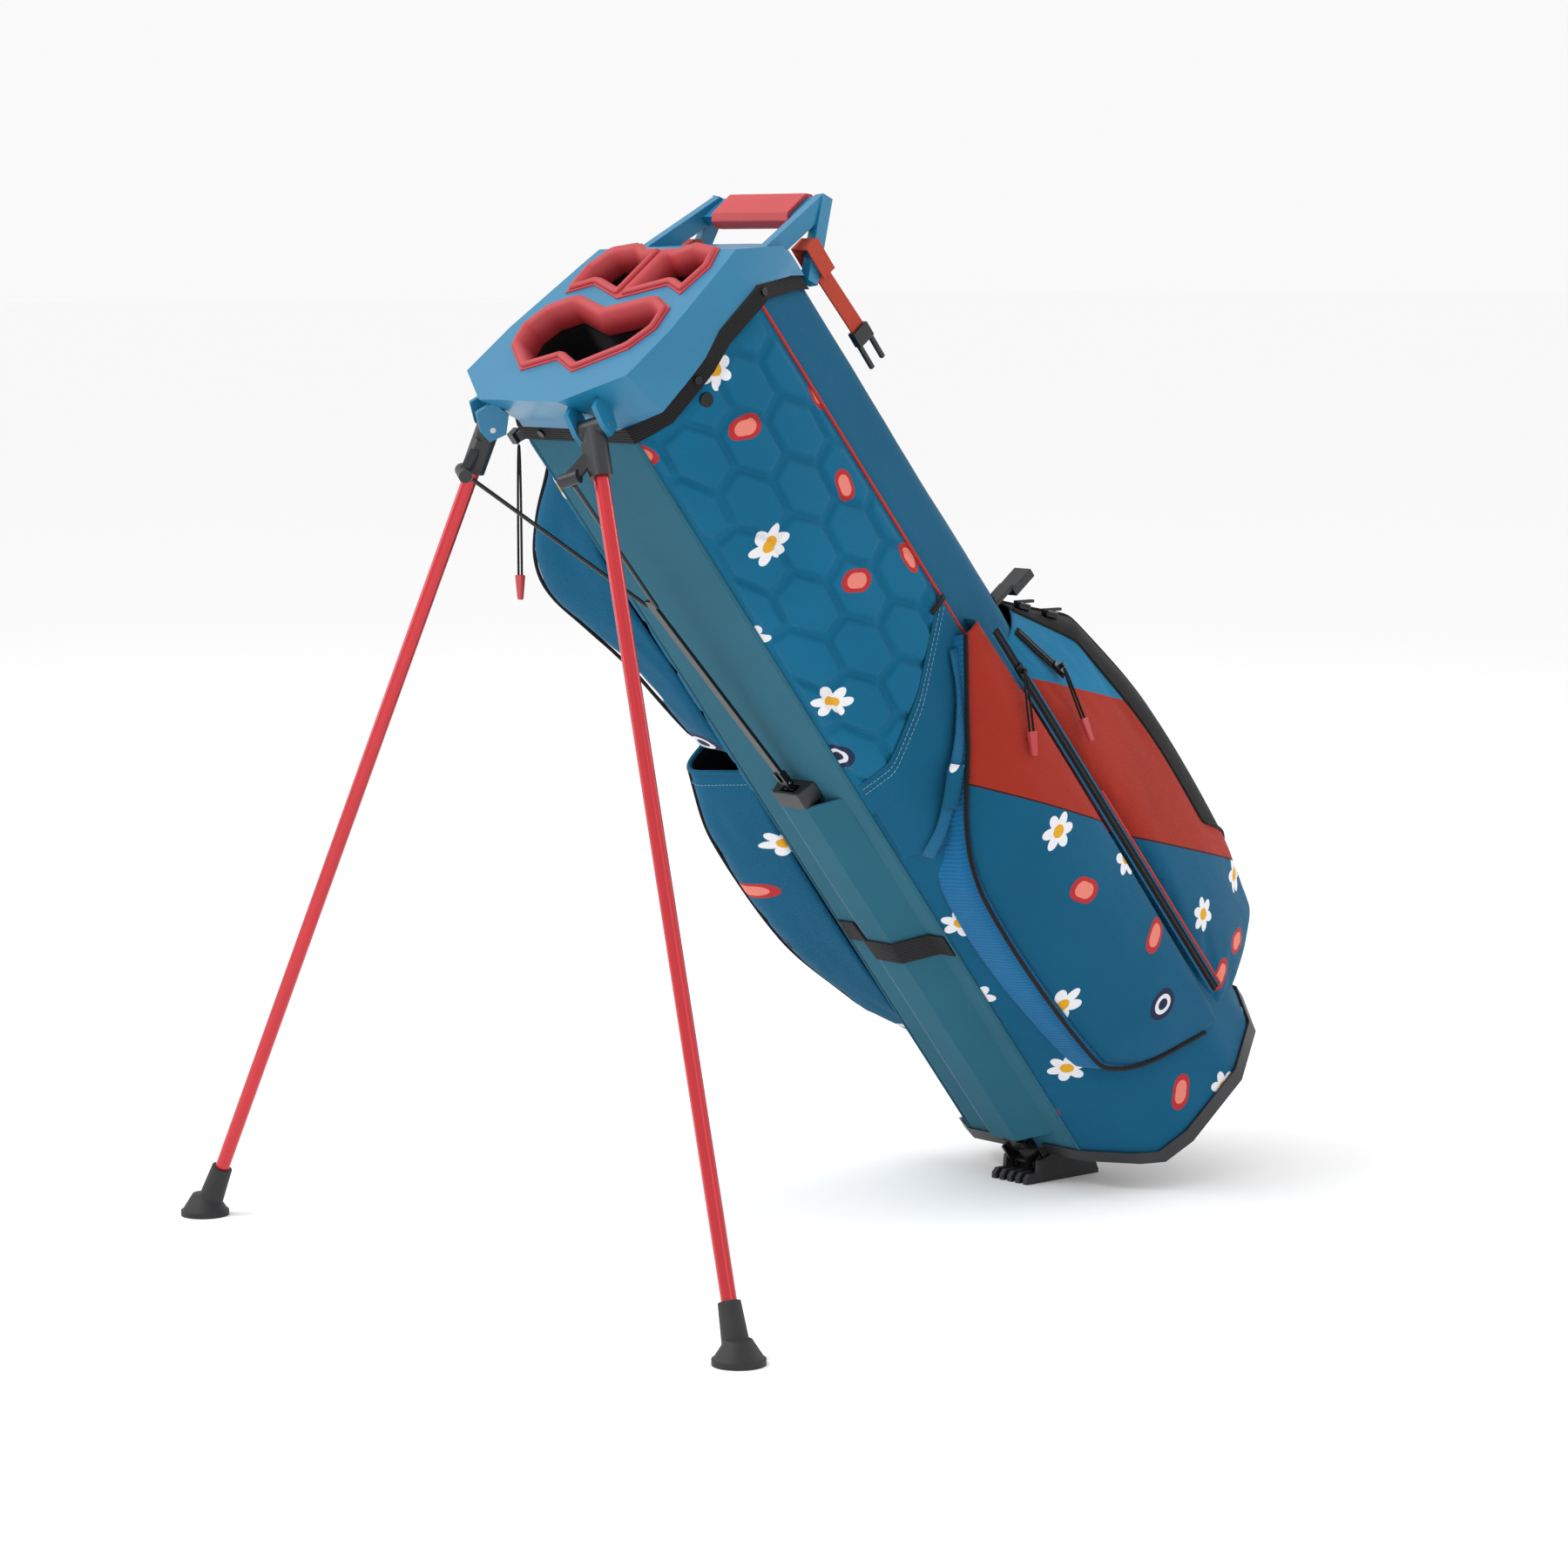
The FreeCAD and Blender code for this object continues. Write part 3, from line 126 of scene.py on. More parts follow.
BAG_MIDDLE = Vector((0, -0.3, 0.4))
make_camera()
area_light("key", (-0.6, -2.4, 3.0), (1.4, 1.4), 58)
area_light("fill", (3.2, -0.6, 1.6), (1.2, 2.2), 7)
area_light("left", (-2.6, -2.2, 1.6), (1.4, 2.2), 14)
area_light("rim", (0.4, 2.6, 2.2), (2.4, 1.2), 22)
make_world()


# -------------------- materials

def srgb(r, g, b):
    """Linear colour from 0-255 screen values."""
    return tuple(((c / 255 + 0.055) / 1.055) ** 2.4 if c > 10 else c / 255 / 12.92
                 for c in (r, g, b)) + (1.0,)


BLUE = srgb(10, 88, 122)
QUILT_BLUE = srgb(12, 100, 136)
RUST = srgb(160, 46, 32)
RIPPLE_BLUE = srgb(28, 116, 156)
SEAM_BROWN = srgb(60, 22, 24)
# Painted shade in the weave: a near-black mixed into every cloth along its crossed-thread pattern.
PAINTED_SHADE_IN_WEAVE = srgb(8, 14, 20)
PETAL_WHITE, YOLK = srgb(236, 236, 240), srgb(226, 168, 42)
OVAL_RED, OVAL_PINK = srgb(184, 46, 48), srgb(230, 132, 118)
DISC_DARK, RING_WHITE = srgb(34, 44, 74), srgb(226, 228, 234)

MEAN_RADIUS = 0.118                     # of the bag, in metres: turns an angle into an arc
MOTIF_CELL = 0.074                      # spacing of the printed motifs, in metres
PRINT_COS, PRINT_SIN = 0.92, 0.39       # the print runs askew to the bag
MOTIF_SCATTER = 0.55
FLOWERS_END, OVALS_END = 0.46, 0.82     # shares of the motifs: flowers, ovals, then rings
SEAM_HALF_WIDTH = 0.0012


class Graph:
    """Short calls that build one material's node tree.

    u, v and w are a point's place in the bag's own frame, in metres."""

    def __init__(self, name, roughness=0.5, **sockets):
        self.mat = bpy.data.materials.new(name)
        self.mat.use_nodes = True
        self.tree = self.mat.node_tree
        self.bsdf = self.tree.nodes["Principled BSDF"]
        self.bsdf.inputs["Roughness"].default_value = roughness
        for key, value in sockets.items():
            self.bsdf.inputs[key.replace("_", " ")].default_value = value
        turn = self.node("ShaderNodeMapping", vector_type="TEXTURE")
        turn.inputs["Location"].default_value = (0, ORIGIN_Y * MM, ORIGIN_Z * MM)
        turn.inputs["Rotation"].default_value = (LEAN, 0, 0)
        self.put(turn.inputs["Vector"], self.node("ShaderNodeTexCoord").outputs["Object"])
        self.bag = turn.outputs["Vector"]
        self.u, self.v, self.w = self.parts(self.bag)

    def node(self, kind, **props):
        made = self.tree.nodes.new(kind)
        for key, value in props.items():
            setattr(made, key, value)
        return made

    def put(self, socket, value):
        if isinstance(value, bpy.types.NodeSocket):
            self.tree.links.new(value, socket)
        else:
            socket.default_value = value

    def parts(self, vector):
        made = self.node("ShaderNodeSeparateXYZ")
        self.put(made.inputs[0], vector)
        return made.outputs

    def math(self, operation, a, b=0.0):
        made = self.node("ShaderNodeMath", operation=operation)
        self.put(made.inputs[0], a)
        self.put(made.inputs[1], b)
        return made.outputs[0]

    def add(self, a, b):
        return self.math("ADD", a, b)

    def mul(self, a, b):
        return self.math("MULTIPLY", a, b)

    def less(self, a, b):
        return self.math("LESS_THAN", a, b)

    def more(self, a, b):
        return self.math("GREATER_THAN", a, b)

    def mix(self, share, a, b):
        made = self.node("ShaderNodeMix", data_type="RGBA")
        self.put(made.inputs[0], share)
        self.put(made.inputs[6], a)
        self.put(made.inputs[7], b)
        return made.outputs[2]

    def noise(self, scale, detail=2.0):
        made = self.node("ShaderNodeTexNoise")
        self.put(made.inputs["Vector"], self.bag)
        made.inputs["Scale"].default_value = scale
        made.inputs["Detail"].default_value = detail
        return made.outputs["Fac"]

    def around(self):
        """Distance round the bag and along it, in metres."""
        return self.mul(self.math("ARCTAN2", self.u, self.v), MEAN_RADIUS), self.w

    def bump(self, height, strength, distance, normal=None):
        made = self.node("ShaderNodeBump")
        made.inputs["Strength"].default_value = strength
        made.inputs["Distance"].default_value = distance
        self.put(made.inputs["Height"], height)
        if normal is not None:
            self.put(made.inputs["Normal"], normal)
        return made.outputs["Normal"]

    def finish(self, colour, normal=None, roughness=None):
        for socket, value in (("Base Color", colour), ("Normal", normal), ("Roughness", roughness)):
            if value is not None:
                self.put(self.bsdf.inputs[socket], value)
        return self.mat


def shaded(graph, colour, scale=9.0, depth=0.16):
    """The colour with slow light and dark variation."""
    dark = tuple(c * (1 - depth) for c in colour[:3]) + (1.0,)
    light = tuple(min(1, c * (1 + depth)) for c in colour[:3]) + (1.0,)
    return graph.mix(graph.noise(scale), dark, light)


def weave(graph, pitch):
    """Crossed threads of a woven cloth, from 0 to 1."""
    s, w = graph.around()
    across = graph.math("SINE", graph.mul(s, math.tau / pitch))
    along = graph.math("SINE", graph.mul(w, math.tau / pitch))
    return graph.add(graph.mul(graph.mul(across, along), 0.5), 0.5)


def motif_cells(graph):
    """Distance and angle from the nearest motif's centre, and two chances of that motif."""
    s, w = graph.around()
    place = graph.node("ShaderNodeCombineXYZ")
    graph.put(place.inputs[0], graph.add(graph.mul(s, PRINT_COS / MOTIF_CELL),
                                         graph.mul(w, PRINT_SIN / MOTIF_CELL)))
    graph.put(place.inputs[1], graph.add(graph.mul(w, PRINT_COS / MOTIF_CELL),
                                         graph.mul(s, -PRINT_SIN / MOTIF_CELL)))
    cells = graph.node("ShaderNodeTexVoronoi", voronoi_dimensions="2D", feature="F1")
    cells.inputs["Scale"].default_value = 1.0
    cells.inputs["Randomness"].default_value = MOTIF_SCATTER
    graph.put(cells.inputs["Vector"], place.outputs[0])
    away = graph.node("ShaderNodeVectorMath", operation="SUBTRACT")
    graph.put(away.inputs[0], place.outputs[0])
    graph.put(away.inputs[1], cells.outputs["Position"])
    x, y, _ = graph.parts(away.outputs[0])
    chance = graph.node("ShaderNodeSeparateColor")
    graph.put(chance.inputs[0], cells.outputs["Color"])
    first, second = chance.outputs[0], chance.outputs[1]
    angle = graph.add(graph.math("ARCTAN2", y, x), graph.mul(first, math.tau))
    return cells.outputs["Distance"], angle, second


def motifs(graph, colour):
    """Flowers, ovals and rings scattered over a printed cloth. Radii are shares of a cell."""
    radius, angle, chance = motif_cells(graph)
    lobe = graph.math("ABSOLUTE", graph.math("COSINE", graph.mul(angle, 3.0)))
    petals = graph.add(graph.mul(lobe, 0.085), 0.105)
    flower = graph.mix(graph.less(radius, petals), colour, PETAL_WHITE)
    flower = graph.mix(graph.less(radius, 0.066), flower, YOLK)
    stretch = graph.add(graph.mul(graph.math("COSINE", graph.mul(angle, 2.0)), 0.036), 0.15)
    oval = graph.mix(graph.less(radius, stretch), colour, OVAL_RED)
    oval = graph.mix(graph.less(radius, graph.mul(stretch, 0.66)), oval, OVAL_PINK)
    ring = graph.mul(graph.less(radius, 0.105), graph.more(radius, 0.06))
    disc = graph.mix(graph.less(radius, 0.165), colour, DISC_DARK)
    disc = graph.mix(ring, disc, RING_WHITE)
    result = graph.mix(graph.more(chance, FLOWERS_END), flower, oval)
    return graph.mix(graph.more(chance, OVALS_END), result, disc)


def cloth(name, colour, printed=False, bands=(), pitch=0.0016, bump=0.45):
    """Woven cloth. Each band is (slope, start, colour) and lies above start of w + slope * v."""
    graph = Graph(name, 0.85, Sheen_Weight=0.06, Sheen_Roughness=0.4, Specular_IOR_Level=0.16)
    base = shaded(graph, colour)
    threads = weave(graph, pitch)
    if printed:
        base = motifs(graph, base)
    for slope, start, tint in bands:
        height = graph.add(graph.w, graph.mul(graph.v, slope))
        base = graph.mix(graph.more(height, start), base, shaded(graph, tint))
        if tint is RUST:
            offset = graph.math("ABSOLUTE", graph.add(height, -start))
            base = graph.mix(graph.less(offset, SEAM_HALF_WIDTH), base, SEAM_BROWN)
    # Painted shade: up to a fifth of a near-black is mixed in, following the crossed-thread relief
    # of the weave.
    base = graph.mix(graph.mul(threads, 0.22), base, PAINTED_SHADE_IN_WEAVE)
    folds = graph.bump(graph.noise(26.0, 4.0), 0.25, 0.004)
    return graph.finish(base, graph.bump(threads, bump, 0.0005, folds))


def ribbed(name, colour, pitch):
    """Webbing or ribbed cloth with fine ridges across the bag's length, and painted shade in stripes
    that follow the ridges.
    """
    graph = Graph(name, 0.78, Sheen_Weight=0.05, Specular_IOR_Level=0.2)
    ridges = graph.math("SINE", graph.mul(graph.w, math.tau / pitch))
    # Painted shade: the colour is darkened by a tenth to a half in stripes that follow the ridges.
    dark = graph.mix(graph.add(graph.mul(ridges, 0.2), 0.3), shaded(graph, colour),
                     tuple(c * 0.5 for c in colour[:3]) + (1.0,))
    fine = graph.add(ridges, graph.mul(weave(graph, 0.0011), 0.6))
    return graph.finish(dark, graph.bump(fine, 0.6, 0.0006))


def plastic(name, colour, roughness=0.35, grain=0.12, coat=0.0, metallic=0.0, fine=900.0):
    """Moulded plastic, rubber or metal with a fine grain and uneven wear in its gloss."""
    graph = Graph(name, roughness, Coat_Weight=coat, Coat_Roughness=0.15, Metallic=metallic)
    wear = graph.noise(38.0, 5.0)
    tint = shaded(graph, colour, 14.0, 0.08)
    rough = graph.add(graph.mul(wear, 0.16), roughness - 0.08)
    return graph.finish(tint, graph.bump(graph.noise(fine, 2.0), grain, 0.0003), rough)


MATS = {
    "collar_blue": plastic("collar_plastic", srgb(12, 110, 148), 0.40, 0.10, 0.1),
    "coral_rubber": plastic("coral_rubber", srgb(170, 48, 54), 0.52, 0.2),
    "grip": plastic("grip_foam", srgb(178, 62, 66), 0.66, 0.5, fine=420.0),
    "black_plastic": plastic("black_plastic", srgb(30, 31, 34), 0.42, 0.25),
    "red_tube": plastic("red_anodised_tube", srgb(184, 30, 40), 0.26, 0.03, 0.5, 0.55),
    "black_steel": plastic("black_steel", srgb(28, 28, 30), 0.32, 0.05, 0.3, 0.6),
    "black_rubber": plastic("black_rubber", srgb(24, 24, 26), 0.62, 0.4, fine=600.0),
    "spine": cloth("spine_cloth", srgb(40, 98, 118), pitch=0.0011, bump=0.2),
    "print": cloth("printed_cloth", BLUE, True),
    "quilt": cloth("quilted_cloth", QUILT_BLUE, True),
    "plain": cloth("plain_cloth", BLUE),
    "side": cloth("side_pocket_cloth", BLUE, True, [(1.38, 0.3129, RUST)]),
    "ball": cloth("ball_pocket_cloth", BLUE, True, [(1.22, 0.300, RUST),
                                                    (1.2, 0.4768, RIPPLE_BLUE)]),
    "black_fabric": cloth("black_cloth", srgb(26, 26, 28), pitch=0.0014),
    "lining": cloth("lining_cloth", srgb(14, 14, 16), pitch=0.0014),
    "gusset": ribbed("ribbed_gusset", srgb(12, 106, 158), 0.0034),
    "red_webbing": ribbed("red_webbing", srgb(196, 72, 52), 0.0022),
    "black_webbing": ribbed("black_webbing", srgb(22, 22, 24), 0.0022),
    "blue_webbing": ribbed("blue_webbing", srgb(24, 104, 146), 0.0022),
    "zinc": plastic("black_zinc", srgb(20, 20, 22), 0.3, 0.05, 0.3, 0.7),
    "steel": plastic("bright_steel", srgb(176, 178, 182), 0.25, 0.04, 0.0, 1.0),
    "board": plastic("board", srgb(60, 52, 44), 0.7, 0.3),
    "fibreglass": plastic("fibreglass", srgb(212, 208, 190), 0.45, 0.15),
    "piping_red": ribbed("piping_red", srgb(198, 58, 52), 0.0016),
    "piping_black": ribbed("piping_black", srgb(20, 20, 22), 0.0016),
    "thread": ribbed("pale_thread", srgb(120, 172, 196), 0.0010),
}


def dress(piece, key, body="bag"):
    """Gives a new piece its material and its body."""
    piece.data.materials.append(MATS[key])
    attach(piece, body)
    return piece


# -------------------- the floor

def make_floor():
    reach = 60
    floor = mesh_object("floor", [(-reach, -reach, 0), (reach, -reach, 0), (reach, reach, 0),
                                  (-reach, reach, 0)], [(0, 1, 2, 3)])
    graph = Graph("floor_paper", 0.9)
    paper = shaded(graph, srgb(254, 254, 254), 2.0, 0.003)
    floor.data.materials.append(graph.finish(paper))


make_floor()


# -------------------- cords

CORD_DIAMETER = 0.002


def pull_cord(name, node, body, route):
    """A limp cord folded over at its top, with both of its strands in a moulded end."""
    cord = round_cord(name, route, CORD_DIAMETER / 2, 3, 16)
    dress(cord, "piping_black", body)
    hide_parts(node)


pull_cord("side_zip_cord", "side_zip_pull_cord", "side_zip",
          [(0.14431, -0.16030, 0.40894), (0.13652, -0.16012, 0.45427),
           (0.13652, -0.16452, 0.45429), (0.14431, -0.16470, 0.40895)])
pull_cord("ball_zip_cord", "ball_zip_pull_cord", "ball_zip",
          [(0.12601, -0.08493, 0.41323), (0.11128, -0.09247, 0.45400),
           (0.11229, -0.09673, 0.45358), (0.12702, -0.08919, 0.41281)])
pull_cord("rain_hood_cord", "hanging_cord", "bag",
          [(-0.1043, -0.4908, 0.53918), (-0.1043, -0.4908, 0.64318),
           (-0.1087, -0.4908, 0.64318), (-0.1087, -0.4908, 0.53918)])


# -------------------- geometry

def rounded(points, t, soft):
    """A point at t along a run of points, with rounded corners."""
    last = len(points) - 1
    t = max(0.0, min(float(last), t))
    corner = round(t)
    gap = t - corner
    if 0 < corner < last and abs(gap) < soft:
        share = (gap + soft) / (2 * soft)
        here = points[corner]
        a = [h + (p - h) * soft for h, p in zip(here, points[corner - 1])]
        b = [h + (p - h) * soft for h, p in zip(here, points[corner + 1])]
        return [(1 - share) ** 2 * x + 2 * share * (1 - share) * h + share ** 2 * y
                for x, h, y in zip(a, here, b)]
    low = min(int(t), last - 1)
    share = t - low
    return [p + (q - p) * share for p, q in zip(points[low], points[low + 1])]


# The right half of the body's section, from the spine panel to the middle of the rear.
HALF_AT_BASE = [(68, -134.6), (108, -114), (126, -70), (126, 4), (101, 58), (58, 94), (0, 104)]
HALF_AT_COLLAR = [(68, -134.6), (94, -114), (104, -66), (100, 8), (84, 60), (48, 82), (0, 88)]
COLLAR_HEIGHT = 838.0
BODY_SOFT = 0.16
SPINE_V = -134.6
PANEL_SEAM = 430        # height of the seam between the upper panels and the lower body
# Heights at values of v: the collar's lower edge, and the slanted hem of the slip pocket.
EDGE_V = (-220, -134, -84, -40, 14, 50, 96, 220)
EDGE_W = (832, 836, 846, 856, 857, 838, 803, 770)
HEM_LOW, HEM_HIGH = (-130, 462), (14, 556)
HEM_SLOPE = (HEM_HIGH[1] - HEM_LOW[1]) / (HEM_HIGH[0] - HEM_LOW[0])
BEVEL_LEVEL = 29.4      # of the bevel under the base, above the floor
FABRIC_BOTTOM = 7.0


def mirrored(half):
    return half + [(-x, y) for x, y in reversed(half) if x != 0]


def outline(w):
    """The body's section at a height: corners 0 to 12, from right to left round the rear."""
    share = w / COLLAR_HEIGHT
    return mirrored([(a[0] + (b[0] - a[0]) * share, a[1] + (b[1] - a[1]) * share)
                     for a, b in zip(HALF_AT_BASE, HALF_AT_COLLAR)])


def body_point(t, w):
    u, v = rounded(outline(w), t, BODY_SOFT)
    return (u, v, w)


def body_normal(t, w):
    a, b = body_point(t - 0.05, w), body_point(t + 0.05, w)
    side = Vector((b[0] - a[0], b[1] - a[1], 0)).normalized()
    return Vector((side.y, -side.x, 0))


def edge_height(v):
    """The collar's lower edge."""
    return np.interp(v, EDGE_V, EDGE_W)


def hem_height(v):
    """The slanted hem of the slip pocket."""
    return HEM_LOW[1] + (v - HEM_LOW[0]) * HEM_SLOPE


def cut_height(v):
    """Where the level bevel under the base cuts the fabric."""
    return max(FABRIC_BOTTOM, (BEVEL_LEVEL - ORIGIN_Z - v * SIN) / COS)


def lifted(u, v, w, lift):
    """The point moved straight away from the bag's axis."""
    size = math.hypot(u, v)
    return (u + u / size * lift, v + v / size * lift, w)


def grid_points(place, nu, nv):
    """Array of bag-frame points, place(s, r) with s and r from 0 to 1."""
    return np.array([[place(i / (nu - 1), j / (nv - 1)) for i in range(nu)]
                     for j in range(nv)], float)


def grid_normals(points):
    normal = np.cross(np.gradient(points, axis=1), np.gradient(points, axis=0))
    size = np.linalg.norm(normal, axis=2, keepdims=True)
    size[size < 1e-9] = 1
    return normal / size


def grid_object(name, points, thick=1.2, lining=False, flip=False):
    """A mesh from a grid of bag-frame points, with the thickness of its cloth.

    With lining, the inner face takes the piece's second material."""
    nv, nu, _ = points.shape
    faces = []
    for j in range(nv - 1):
        for i in range(nu - 1):
            a, b = j * nu + i, j * nu + i + 1
            face = (a, b, b + nu, a + nu)
            faces.append(face[::-1] if flip else face)
    piece = mesh_object(name, [row(*p) for p in points.reshape(-1, 3)], faces)
    piece.data.polygons.foreach_set("use_smooth", [True] * len(faces))
    solid = piece.modifiers.new("thickness", "SOLIDIFY")
    solid.thickness = thick * MM
    solid.offset = -1
    if lining:
        solid.material_offset = 1
    return piece


def wrinkled(points, depth, scale, seed=0.0):
    """Slow folds pushed along the surface, none at its edges."""
    edge, stretch = 0.12, 1.6
    normal = grid_normals(points)
    nv, nu, _ = points.shape
    result = points.copy()
    for j in range(nv):
        for i in range(nu):
            p = points[j, i]
            s, r = i / (nu - 1), j / (nv - 1)
            mask = min(1, min(s, 1 - s) / edge) * min(1, min(r, 1 - r) / edge)
            place = Vector((p[0] / scale + seed, p[1] / scale, p[2] / scale / stretch))
            result[j, i] += normal[j, i] * noise.fractal(place, 1.0, 2.0, 3) * depth * mask
    return result


BILLOW_FRAMES = 14


def rim_of(mesh):
    """The vertices on a mesh's open edges."""
    uses = {}
    for polygon in mesh.polygons:
        for key in polygon.edge_keys:
            uses[key] = uses.get(key, 0) + 1
    return sorted({v for key, n in uses.items() if n == 1 for v in key})


def add_cloth(piece, pressure):
    cloth_mod = piece.modifiers.new("billow", "CLOTH")
    settings = cloth_mod.settings
    settings.quality = 5
    settings.mass = 0.3
    settings.tension_stiffness = 12
    settings.compression_stiffness = 12
    settings.bending_stiffness = 0.4
    settings.vertex_group_mass = "held"
    settings.use_pressure = True
    settings.uniform_pressure_force = pressure
    settings.effector_weights.gravity = 0
    cloth_mod.collision_settings.use_collision = False
    cloth_mod.point_cache.frame_start = 1
    cloth_mod.point_cache.frame_end = BILLOW_FRAMES
    return cloth_mod


def inflate(piece, pressure, cap):
    """Lets a panel billow as cloth under a little pressure, by cap millimetres at the most."""
    mesh = piece.data
    group = piece.vertex_groups.new(name="held")
    group.add(rim_of(mesh), 1.0, "REPLACE")
    before = np.zeros(len(mesh.vertices) * 3)
    mesh.vertices.foreach_get("co", before)
    piece.modifiers["thickness"].show_viewport = False
    cloth_mod = add_cloth(piece, pressure)
    scene = bpy.context.scene
    for step in range(1, BILLOW_FRAMES + 1):
        scene.frame_set(step)
    shown = piece.evaluated_get(bpy.context.evaluated_depsgraph_get())
    after = np.zeros(len(before))
    shown.data.vertices.foreach_get("co", after)
    piece.modifiers.remove(cloth_mod)
    piece.modifiers["thickness"].show_viewport = True
    scene.frame_set(1)
    move = (after - before).reshape(-1, 3)
    size = np.linalg.norm(move, axis=1, keepdims=True)
    size[size < 1e-9] = 1
    move *= np.minimum(1, cap * MM / size)
    mesh.vertices.foreach_set("co", (before.reshape(-1, 3) + move).ravel())
    piece.vertex_groups.remove(group)
    mesh.update()


def piping(name, points, radius, key):
    """A round cord of cloth sewn along a seam, through bag-frame points."""
    return dress(round_cord(name, [row(*p) for p in points], radius * MM, 2, 3), key)


STITCH_PITCH, STITCH_LENGTH, STITCH_RADIUS = 4.2, 2.8, 0.42
STITCH_SIDES = 6


def stitch(a, b, verts, faces):
    """Adds one stitch from a to b, with narrowed ends."""
    way = (b - a).normalized()
    side = way.orthogonal().normalized()
    other = way.cross(side)
    base = len(verts)
    for spot, size in ((a - way * 0.2, 0.4), (a + way * 0.4, 1.0), (b - way * 0.4, 1.0),
                       (b + way * 0.2, 0.4)):
        for k in range(STITCH_SIDES):
            angle = math.tau * k / STITCH_SIDES
            offset = side * math.cos(angle) + other * math.sin(angle)
            verts.append(row(*(spot + offset * STITCH_RADIUS * size)))
    for ring in range(3):
        for k in range(STITCH_SIDES):
            p = base + ring * STITCH_SIDES + k
            q = base + ring * STITCH_SIDES + (k + 1) % STITCH_SIDES
            faces.append((p, q, q + STITCH_SIDES, p + STITCH_SIDES))
    faces.append(tuple(base + k for k in reversed(range(STITCH_SIDES))))
    faces.append(tuple(base + 3 * STITCH_SIDES + k for k in range(STITCH_SIDES)))


def stitches(name, points):
    """A row of thread stitches on a line of bag-frame points."""
    points = [Vector(p) for p in points]
    total = sum((b - a).length for a, b in zip(points, points[1:]))

    def at(distance):
        for a, b in zip(points, points[1:]):
            step = (b - a).length
            if distance <= step or b is points[-1]:
                return a + (b - a) * min(1.0, distance / max(step, 1e-9))
            distance -= step

    verts, faces = [], []
    place = 1.0
    while place + STITCH_LENGTH < total:
        stitch(at(place), at(place + STITCH_LENGTH), verts, faces)
        place += STITCH_PITCH
    return dress(mesh_object(name, verts, faces), "thread")


# -------------------- body panels

HEX_A, HEX_B = (-24.3, -39.3), (43.0, -20.5)    # steps from pad to pad: round the bag, along it
HEX_CENTRE = (98.0, 707.9)
HEX_PITCH = 47.0                                # of the regular hexagons that the pads map to
REGULAR_A = (0.0, -HEX_PITCH)
REGULAR_B = (0.866 * HEX_PITCH, 0.5 * HEX_PITCH)
PAD_HEIGHT = 4.2
GROOVE_FLAT, GROOVE_SLOPE = 1.6, 3.4
DOME_RADIUS, DOME_SHARE = 22.0, 0.25


def pad_height(s, w, mask):
    """Height of the hexagonal pads at arc distance s and height w."""
    det = HEX_A[0] * HEX_B[1] - HEX_A[1] * HEX_B[0]
    ds, dw = s - HEX_CENTRE[0], w - HEX_CENTRE[1]
    m = (ds * HEX_B[1] - dw * HEX_B[0]) / det
    n = (HEX_A[0] * dw - HEX_A[1] * ds) / det
    x = m * REGULAR_A[0] + n * REGULAR_B[0]
    y = m * REGULAR_A[1] + n * REGULAR_B[1]
    gaps = []
    for i in (-1, 0, 1, 2):
        for j in (-1, 0, 1, 2):
            cm, cn = np.floor(m) + i, np.floor(n) + j
            gaps.append(np.hypot(x - cm * REGULAR_A[0] - cn * REGULAR_B[0],
                                 y - cm * REGULAR_A[1] - cn * REGULAR_B[1]))
    near = np.sort(np.stack(gaps), axis=0)
    edge = (near[1] ** 2 - near[0] ** 2) / (2 * HEX_PITCH)
    ramp = np.clip((edge - GROOVE_FLAT) / GROOVE_SLOPE, 0, 1)
    ramp = ramp * ramp * (3 - 2 * ramp)
    dome = np.clip(edge / DOME_RADIUS, 0, 1) * DOME_SHARE
    return PAD_HEIGHT * (ramp * (1 - DOME_SHARE) + dome) * mask


def quilted(points, hand):
    """The hexagonal pads pushed out of a panel's grid, none along its edges."""
    side_margin, side_fade = 4, 6
    hem_margin, edge_margin, end_fade = 6, 15, 10
    steps = np.linalg.norm(np.diff(points, axis=1), axis=2)
    arc = np.concatenate([np.zeros((len(points), 1)), np.cumsum(steps, axis=1)], axis=1)
    total = arc[:, -1:]
    if hand == "left":
        arc = total - arc
    v, w = points[:, :, 1], points[:, :, 2]
    bottom = PANEL_SEAM
    if hand == "right":
        bottom = np.where(v < HEM_HIGH[0], hem_height(v), HEM_HIGH[1]) - hem_margin
    top = edge_height(v) - edge_margin
    sides = np.minimum(arc, total - arc)
    ends = np.minimum(w - bottom, top - w)
    mask = np.clip((sides - side_margin) / side_fade, 0, 1) * np.clip(ends / end_fade, 0, 1)
    return points + grid_normals(points) * pad_height(arc, w, mask)[..., None]


def make_panel(name, node, key, t0, t1, nu, nv, low=None, high=None, quilt=None):
    """A panel of the body between two corners.

    Without low it starts at the bevel under the base; without high it ends in the collar."""
    first_guess, tuck = 600.0, 0.6

    def place(s, r):
        t = t0 + (t1 - t0) * s
        w = first_guess
        for _ in range(3):
            v = body_point(t, w)[1]
            bottom = cut_height(v) if low is None else low
            top = edge_height(v) - tuck if high is None else high
            w = bottom + (top - bottom) * r
        return body_point(t, w)
    points = grid_points(place, nu, nv)
    points = quilted(points, quilt) if quilt else wrinkled(points, 0.8, 70.0, t0)
    piece = dress(grid_object(name, points, 2.4, lining=True), key)
    piece.data.materials.append(MATS["lining"])
    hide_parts(node)
    return piece


